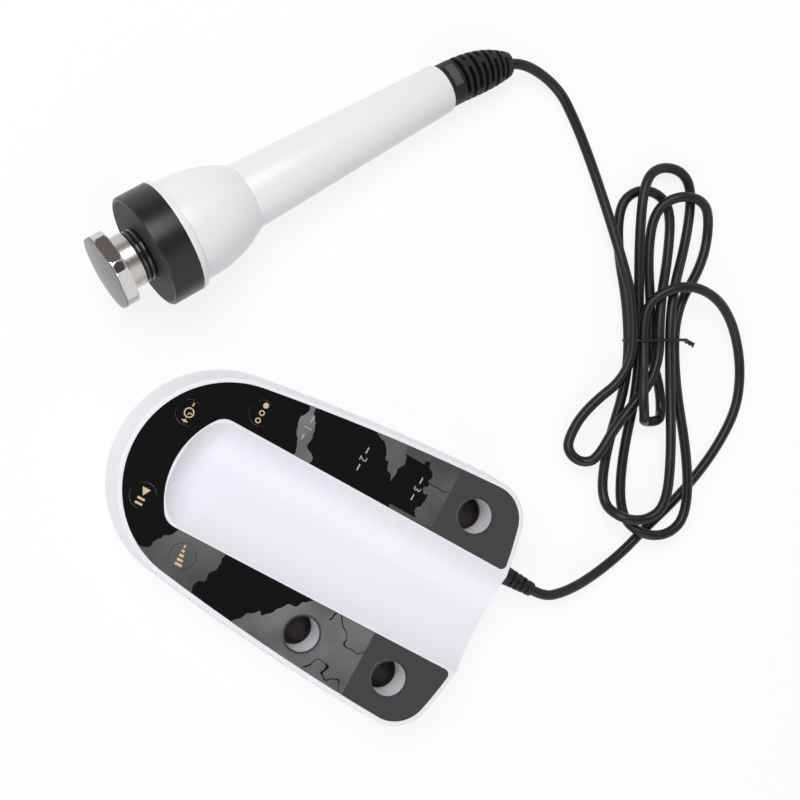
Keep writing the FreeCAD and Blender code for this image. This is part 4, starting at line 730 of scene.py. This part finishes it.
CORD = 5.4
CORD_STEP = 6.3
FLOOR_GAP = 0.1
REACH = 105.0
HANK_SPOT = Vector((-80.45, 141.48, 0))
HANK_TURN = math.radians(210.18)
ALONG = Vector((math.cos(HANK_TURN), math.sin(HANK_TURN), 0))
ACROSS = Vector((ALONG.y, -ALONG.x, 0))
WAIST = [-0.1352, -0.0762, -0.0086, 0.0095, 0.0686, 0.1238]
WAIST_LEVEL = 0.46

# From waist column and layer, to waist column and layer, the tip's place across and along, the
# loop's radius, and the heights before, at and after the tip
LOBES = [
    (0, 1, 3, 1, -0.4293, -0.5952, 0.0857, (0.50, 0.75, 1.27)),
    (3, 1, 0, 0, -0.0242, 0.7619, 0.1426, (0.07, 0.00, 0.00)),
    (0, 0, 4, 1, -0.1383, -0.9095, 0.1491, (0.00, 1.96, 2.39)),
    (4, 1, 1, 0, 0.0987, 0.8762, 0.1474, (0.08, 0.48, 1.00)),
    (1, 0, 5, 0, -0.0020, -1.0000, 0.1732, (0.07, 1.22, 1.12)),
    (5, 0, 2, 0, 0.1868, 0.7238, 0.1635, (0.19, 1.49, 0.52)),
    (2, 0, 1, 1, -0.0206, -0.4143, 0.0797, (0.15, 1.10, 2.46)),
]
HANDLE_LEAD = [
    (-0.5048, 1.2667, 0.190), (-0.4095, 1.0952, 0.032), (-0.3381, 0.9238, 0.063),
    (-0.2762, 0.7429, 0.270), (-0.2238, 0.5524, 0.746), (-0.1762, 0.3619, 1.238),
    (-0.1352, 0.1905, 1.460),
]
BASE_LEAD = [
    (-0.0762, 0.1619, 1.460), (0.0190, 0.2524, 2.222), (0.1619, 0.2762, 2.571),
    (0.3095, 0.2190, 2.016), (0.4190, 0.1143, 1.143), (0.4905, -0.0286, 0.381),
    (0.5190, -0.1905, 0.016), (0.4952, -0.3619, 0.000), (0.4095, -0.5238, 0.000),
    (0.2857, -0.6857, 0.000), (0.1333, -0.8381, 0.000), (-0.0286, -0.9714, 0.000),
    (-0.1524, -1.0857, 0.000), (-0.2900, -1.1760, 0.254), (-0.4150, -1.2330, 0.825),
    (-0.5300, -1.2640, 1.460),
]
EXIT_RUN = 8


def hank_point(across, along, level):
    height = FLOOR_GAP + CORD / 2 + CORD_STEP * level
    return HANK_SPOT + ACROSS * (REACH * across) + ALONG * (REACH * along) + UP * height


def hank_knots():
    """Places and headings at the waist and round each loop."""
    knots = []
    for column, layer, next_column, next_layer, across, along, bend, levels in LOBES:
        way = math.copysign(1, along)
        start = hank_point(WAIST[column], 0, WAIST_LEVEL + layer)
        end = hank_point(WAIST[next_column], 0, WAIST_LEVEL + next_layer)
        tip = hank_point(across, along, levels[1])
        axis = tip - (start + end) / 2
        axis = Vector((axis.x, axis.y, 0)).normalized()
        sideways = UP.cross(axis)
        if (start - end).dot(sideways) < 0:
            sideways = -sideways
        radius = bend * REACH
        centre = tip - axis * radius
        knots.append((start, ALONG * way))
        for spot, level, heading in (
            (centre + sideways * radius, levels[0], axis),
            (tip, levels[1], -sideways),
            (centre - sideways * radius, levels[2], -axis),
        ):
            spot = Vector((spot.x, spot.y, hank_point(0, 0, level).z))
            knots.append((spot, heading))
    knots.append((end, -ALONG * way))
    return knots


def hank_route():
    """The hank's own corners: two between each pair of knots, where their headings lead."""
    route = []
    knots = hank_knots()
    for (start, heading), (end, end_heading) in zip(knots, knots[1:]):
        span = end - start
        pull = span.dot(heading + end_heading)
        bend = 1 - heading.dot(end_heading)
        if bend < 1e-6:
            reach = span.dot(span) / (4 * span.dot(end_heading))
        else:
            reach = (math.sqrt(pull * pull + 2 * bend * span.dot(span)) - pull) / (2 * bend)
        route += [start + heading * reach, end - end_heading * reach]
    return route


boot_tip = HAND @ (Vector((
    BOOT_CURVE * (1 - math.cos(BOOT_BEND)), -boot_lift(BOOT_LENGTH),
    BARREL_END + BOOT_CURVE * math.sin(BOOT_BEND),
)) * MM) / MM
boot_way = HAND.to_3x3() @ Vector((math.sin(BOOT_BEND), -math.tan(TILT), math.cos(BOOT_BEND)))
tail_tip = tail_spot / MM + Vector((0, TAIL_BOOT_LENGTH, 0))
cord_route = (
    [tail_tip, tail_tip + Vector((0, EXIT_RUN, 0))]
    + [hank_point(*shares) for shares in reversed(BASE_LEAD)]
    + list(reversed(hank_route()))
    + [hank_point(*shares) for shares in reversed(HANDLE_LEAD)]
    + [boot_tip + boot_way * EXIT_RUN, boot_tip]
)


def evaluated_mesh(name, data):
    """The mesh that a curve or lettering makes."""
    guide = new_object(name, data)
    bpy.context.view_layer.update()
    depsgraph = bpy.context.evaluated_depsgraph_get()
    mesh = bpy.data.meshes.new_from_object(guide.evaluated_get(depsgraph))
    bpy.data.objects.remove(guide)
    return mesh


def smooth_line(name, route, thickness=0.0):
    """A smooth curve steered by the route's corners, as a mesh: a line, or a round tube."""
    curve = bpy.data.curves.new(name, "CURVE")
    curve.dimensions = "3D"
    spline = curve.splines.new("NURBS")
    spline.points.add(len(route) - 1)
    for point, corner in zip(spline.points, route):
        point.co = (*(corner * MM), 1)
    spline.order_u = 3
    spline.use_endpoint_u = True
    curve.resolution_u = 12
    curve.bevel_depth = thickness / 2 * MM
    curve.bevel_resolution = 5
    curve.use_fill_caps = True
    return evaluated_mesh(name, curve)


cord_path = [v.co.copy() for v in smooth_line("cord_line", cord_route).vertices]
cord_mesh = smooth_line("cord", cord_route, CORD)
cord_mesh.materials.clear()
cord_mesh.materials.append(CORD_BLACK)
for polygon in cord_mesh.polygons:
    polygon.use_smooth = True
cord = new_object("cord", cord_mesh)
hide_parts("base_lead", "cord_hank", "handle_lead")

TIE = 1.5
TIE_GAP = 0.4
TWIST_STEP = 0.9
TWIST_STEPS = 10


def twist_tie():
    """Corners of the thin wire tie: its loop round the waist, and its two ends twisted together."""
    margin = CORD / 2 + TIE_GAP + TIE / 2
    left, right = WAIST[0] * REACH - margin, WAIST[-1] * REACH + margin
    low = hank_point(0, 0, WAIST_LEVEL).z - margin
    high = hank_point(0, 0, WAIST_LEVEL + 1).z + margin
    middle = (low + high) / 2
    loop = [
        (right, middle), (right, low), (left, low), (left, high), (right, high), (right, middle),
    ]
    loop = [HANK_SPOT + ACROSS * across + UP * height for across, height in loop]
    way = (ACROSS - UP * 0.45 - ALONG * 0.4).normalized()
    level = way.cross(UP).normalized()
    ends = []
    for start in (0, math.pi):
        ends.append([
            loop[0] + way * (TWIST_STEP * step)
            + (level * math.cos(start + step) + way.cross(level) * math.sin(start + step)) * TIE / 2
            for step in range(1, TWIST_STEPS + 1)
        ])
    return ends[0][::-1] + loop + ends[1]


tie_mesh = smooth_line("twist_tie", twist_tie(), TIE)
tie_mesh.materials.clear()
tie_mesh.materials.append(CORD_BLACK)
tie = new_object("tie_wire", tie_mesh)
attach(tie, "base")
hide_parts("twist_tie")

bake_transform(cord)

# Printed marks on the overlay: plain signs in gold on the keys, plain numbers in silver at the
# lamps. They read along the base unit's X axis.

DECK = 38.0
INK = 0.06


def add_bar(form, x, y, width, height):
    size = Matrix.Diagonal((width * MM, height * MM, 1, 1))
    bmesh.ops.create_grid(form, x_segments=1, y_segments=1, size=0.5,
                          matrix=Matrix.Translation((x * MM, y * MM, 0)) @ size)


def add_dot(form, x, y, radius, corners=32, hole=0.0):
    made = bmesh.ops.create_circle(form, cap_ends=True, segments=corners, radius=radius * MM,
                                   matrix=Matrix.Translation((x * MM, y * MM, 0)))
    if hole:
        faces = list({face for vert in made["verts"] for face in vert.link_faces})
        bmesh.ops.inset_individual(form, faces=faces, thickness=(radius - hole) * MM,
                                   use_even_offset=True)
        bmesh.ops.delete(form, geom=faces, context="FACES")


def print_mark(name, form, finish, body, x, y):
    """Thickens a flat sign to a film of ink and lays it on the overlay."""
    bmesh.ops.translate(form, verts=form.verts, vec=BASE + Vector((x, y, DECK)) * MM)
    made = bmesh.ops.extrude_face_region(form, geom=form.faces[:])
    top = [item for item in made["geom"] if isinstance(item, bmesh.types.BMVert)]
    bmesh.ops.translate(form, verts=top, vec=UP * (INK * MM))
    finish_piece(name, form, [finish], body, smooth=False)


arrow_x = -2.4
start_sign = bmesh.new()
add_dot(start_sign, arrow_x, 0, 2.5, corners=3)
bmesh.ops.rotate(start_sign, verts=start_sign.verts, cent=(arrow_x * MM, 0, 0),
                 matrix=Matrix.Rotation(-math.pi / 2, 3, "Z"))
for bar_x in (1.8, 4.2):
    add_bar(start_sign, bar_x, 0, 1.1, 3.8)
print_mark("start_sign", start_sign, GOLD_INK, "start_key", x=22, y=-73.5)

plus_x = 4.3
timer_sign = bmesh.new()
add_dot(timer_sign, 0, 0, 2.5, hole=1.9)
add_bar(timer_sign, 0, 0.7, 0.5, 1.6)
add_bar(timer_sign, 0.5, 0, 1.4, 0.5)
for bar_x in (-plus_x, plus_x):
    add_bar(timer_sign, bar_x, 0, 1.9, 0.6)
for bar_y in (0.9, -0.9):
    add_bar(timer_sign, plus_x, bar_y, 0.6, 1.2)
print_mark("timer_sign", timer_sign, GOLD_INK, "timer_key", x=-22, y=-73.5)

mode_sign = bmesh.new()
for dot_x, hole in ((-4, 0.0), (0, 0.85), (4, 0.85)):
    add_dot(mode_sign, dot_x, 0, 1.4, hole=hole)
print_mark("mode_sign", mode_sign, GOLD_INK, "mode_key", x=-38.5, y=-43)

level_sign = bmesh.new()
for step in range(5):
    height = 0.9 + 0.7 * step
    add_bar(level_sign, -4.4 + 2.2 * step, height / 2 - 1.85, 1.3, height)
print_mark("level_sign", level_sign, GOLD_INK, "level_key", x=38.5, y=-43)


def number_form(text, height):
    """A flat number in the plain built-in lettering, centred on the origin."""
    lettering = bpy.data.curves.new("number", "FONT")
    lettering.body = text
    lettering.size = height * MM
    lettering.align_x = "CENTER"
    lettering.align_y = "CENTER"
    form = bmesh.new()
    form.from_mesh(evaluated_mesh("number", lettering))
    return form


LAMP_X = -43
LAMP_ROWS = (-20, 11.5, 43)
for count, lamp_y in enumerate(LAMP_ROWS, 1):
    number = number_form(str(count), 5.4)
    for bar_x in (-4.6, 4.6):
        add_bar(number, bar_x, 0, 3.2, 0.7)
    print_mark(f"lamp_number_{count}", number, SILVER_INK, "base", x=LAMP_X, y=lamp_y)

# The two white shells keep their CAD shape, as copies with their curves shaded smooth

SHARP_FROM = math.radians(24)


def smooth_shell(name, node_name, finish):
    form = bmesh.new()
    form.from_mesh(nodes[node_name].data)
    bmesh.ops.remove_doubles(form, verts=form.verts, dist=WELD)
    bmesh.ops.dissolve_degenerate(form, edges=form.edges, dist=SLIVER)
    for face in form.faces:
        face.material_index = 0
    for edge in form.edges:
        edge.smooth = edge.calc_face_angle(math.pi) < SHARP_FROM
    shell = finish_piece(name, form, [finish], "base", [node_name])
    levelling = shell.modifiers.new("flats", "WEIGHTED_NORMAL")
    levelling.keep_sharp = True


smooth_shell("upper_housing", "upper_shell", SHELL_WHITE)
smooth_shell("lower_tray", "lower_shell", SHELL_WHITE)

# CAD pieces that keep their shape get their finish

FINISHES = {
    "socket_cups": SOCKET_SLEEVE,
    "control_panel": PANEL,
    "start_key": PANEL, "timer_key": PANEL, "mode_key": PANEL, "level_key": PANEL,
    "indicator_lamps": LENS, "display_module": DISPLAY, "socket_pads": PAD_BROWN,
    "power_inlet": DARK_PLASTIC, "tact_switches": DARK_PLASTIC, "driver_chips": DARK_PLASTIC,
    "cord_clamp": DARK_PLASTIC, "rubber_feet": RUBBER, "control_board": BOARD_GREEN,
    "lamp_board": BOARD_GREEN, "main_board": BOARD_GREEN, "case_screws": SCREW_STEEL,
    "control_board_screws": SCREW_STEEL, "lamp_board_screws": SCREW_STEEL,
    "main_board_screws": SCREW_STEEL, "carrier_screws": SCREW_STEEL,
    "transformer_core": FERRITE, "transformer_bobbin": COPPER, "heat_sink": ALUMINIUM,
    "capacitors": CAN_BLUE, "ribbon_cable": RIBBON_GREY, "probe_bushing": BRASS,
    "bushing_carrier": INSULATOR, "output_lead": LEAD_RED,
}
for node_name, finish in FINISHES.items():
    for material_slot in nodes[node_name].material_slots:
        material_slot.material = finish

# The table

TABLE_HALF = 3
PAPER_SHARE = 0.82


def whiten_table(material):
    """Shows the table as white paper, with most of its shading lifted and the shadow kept."""
    tree = material.node_tree
    shaded = tree.nodes["Principled BSDF"].outputs[0]
    paper = add_node(tree, "Emission", (1, 1, 1, 1)).outputs[0]
    mix = add_node(tree, "MixShader", seen_directly(tree, PAPER_SHARE), shaded, paper)
    tree.links.new(mix.outputs[0], tree.nodes["Material Output"].inputs["Surface"])


table_white = moulded("table_white", (0.92, 0.92, 0.92), (0.94, 0.94, 0.94), 0.6, 0.7, 300, 0.0)
whiten_table(table_white)
floor_form = bmesh.new()
bmesh.ops.create_grid(floor_form, x_segments=1, y_segments=1, size=TABLE_HALF)
floor_mesh = bpy.data.meshes.new("table_top")
floor_form.to_mesh(floor_mesh)
floor_form.free()
floor_mesh.materials.append(table_white)
floor = new_object("table_top", floor_mesh)
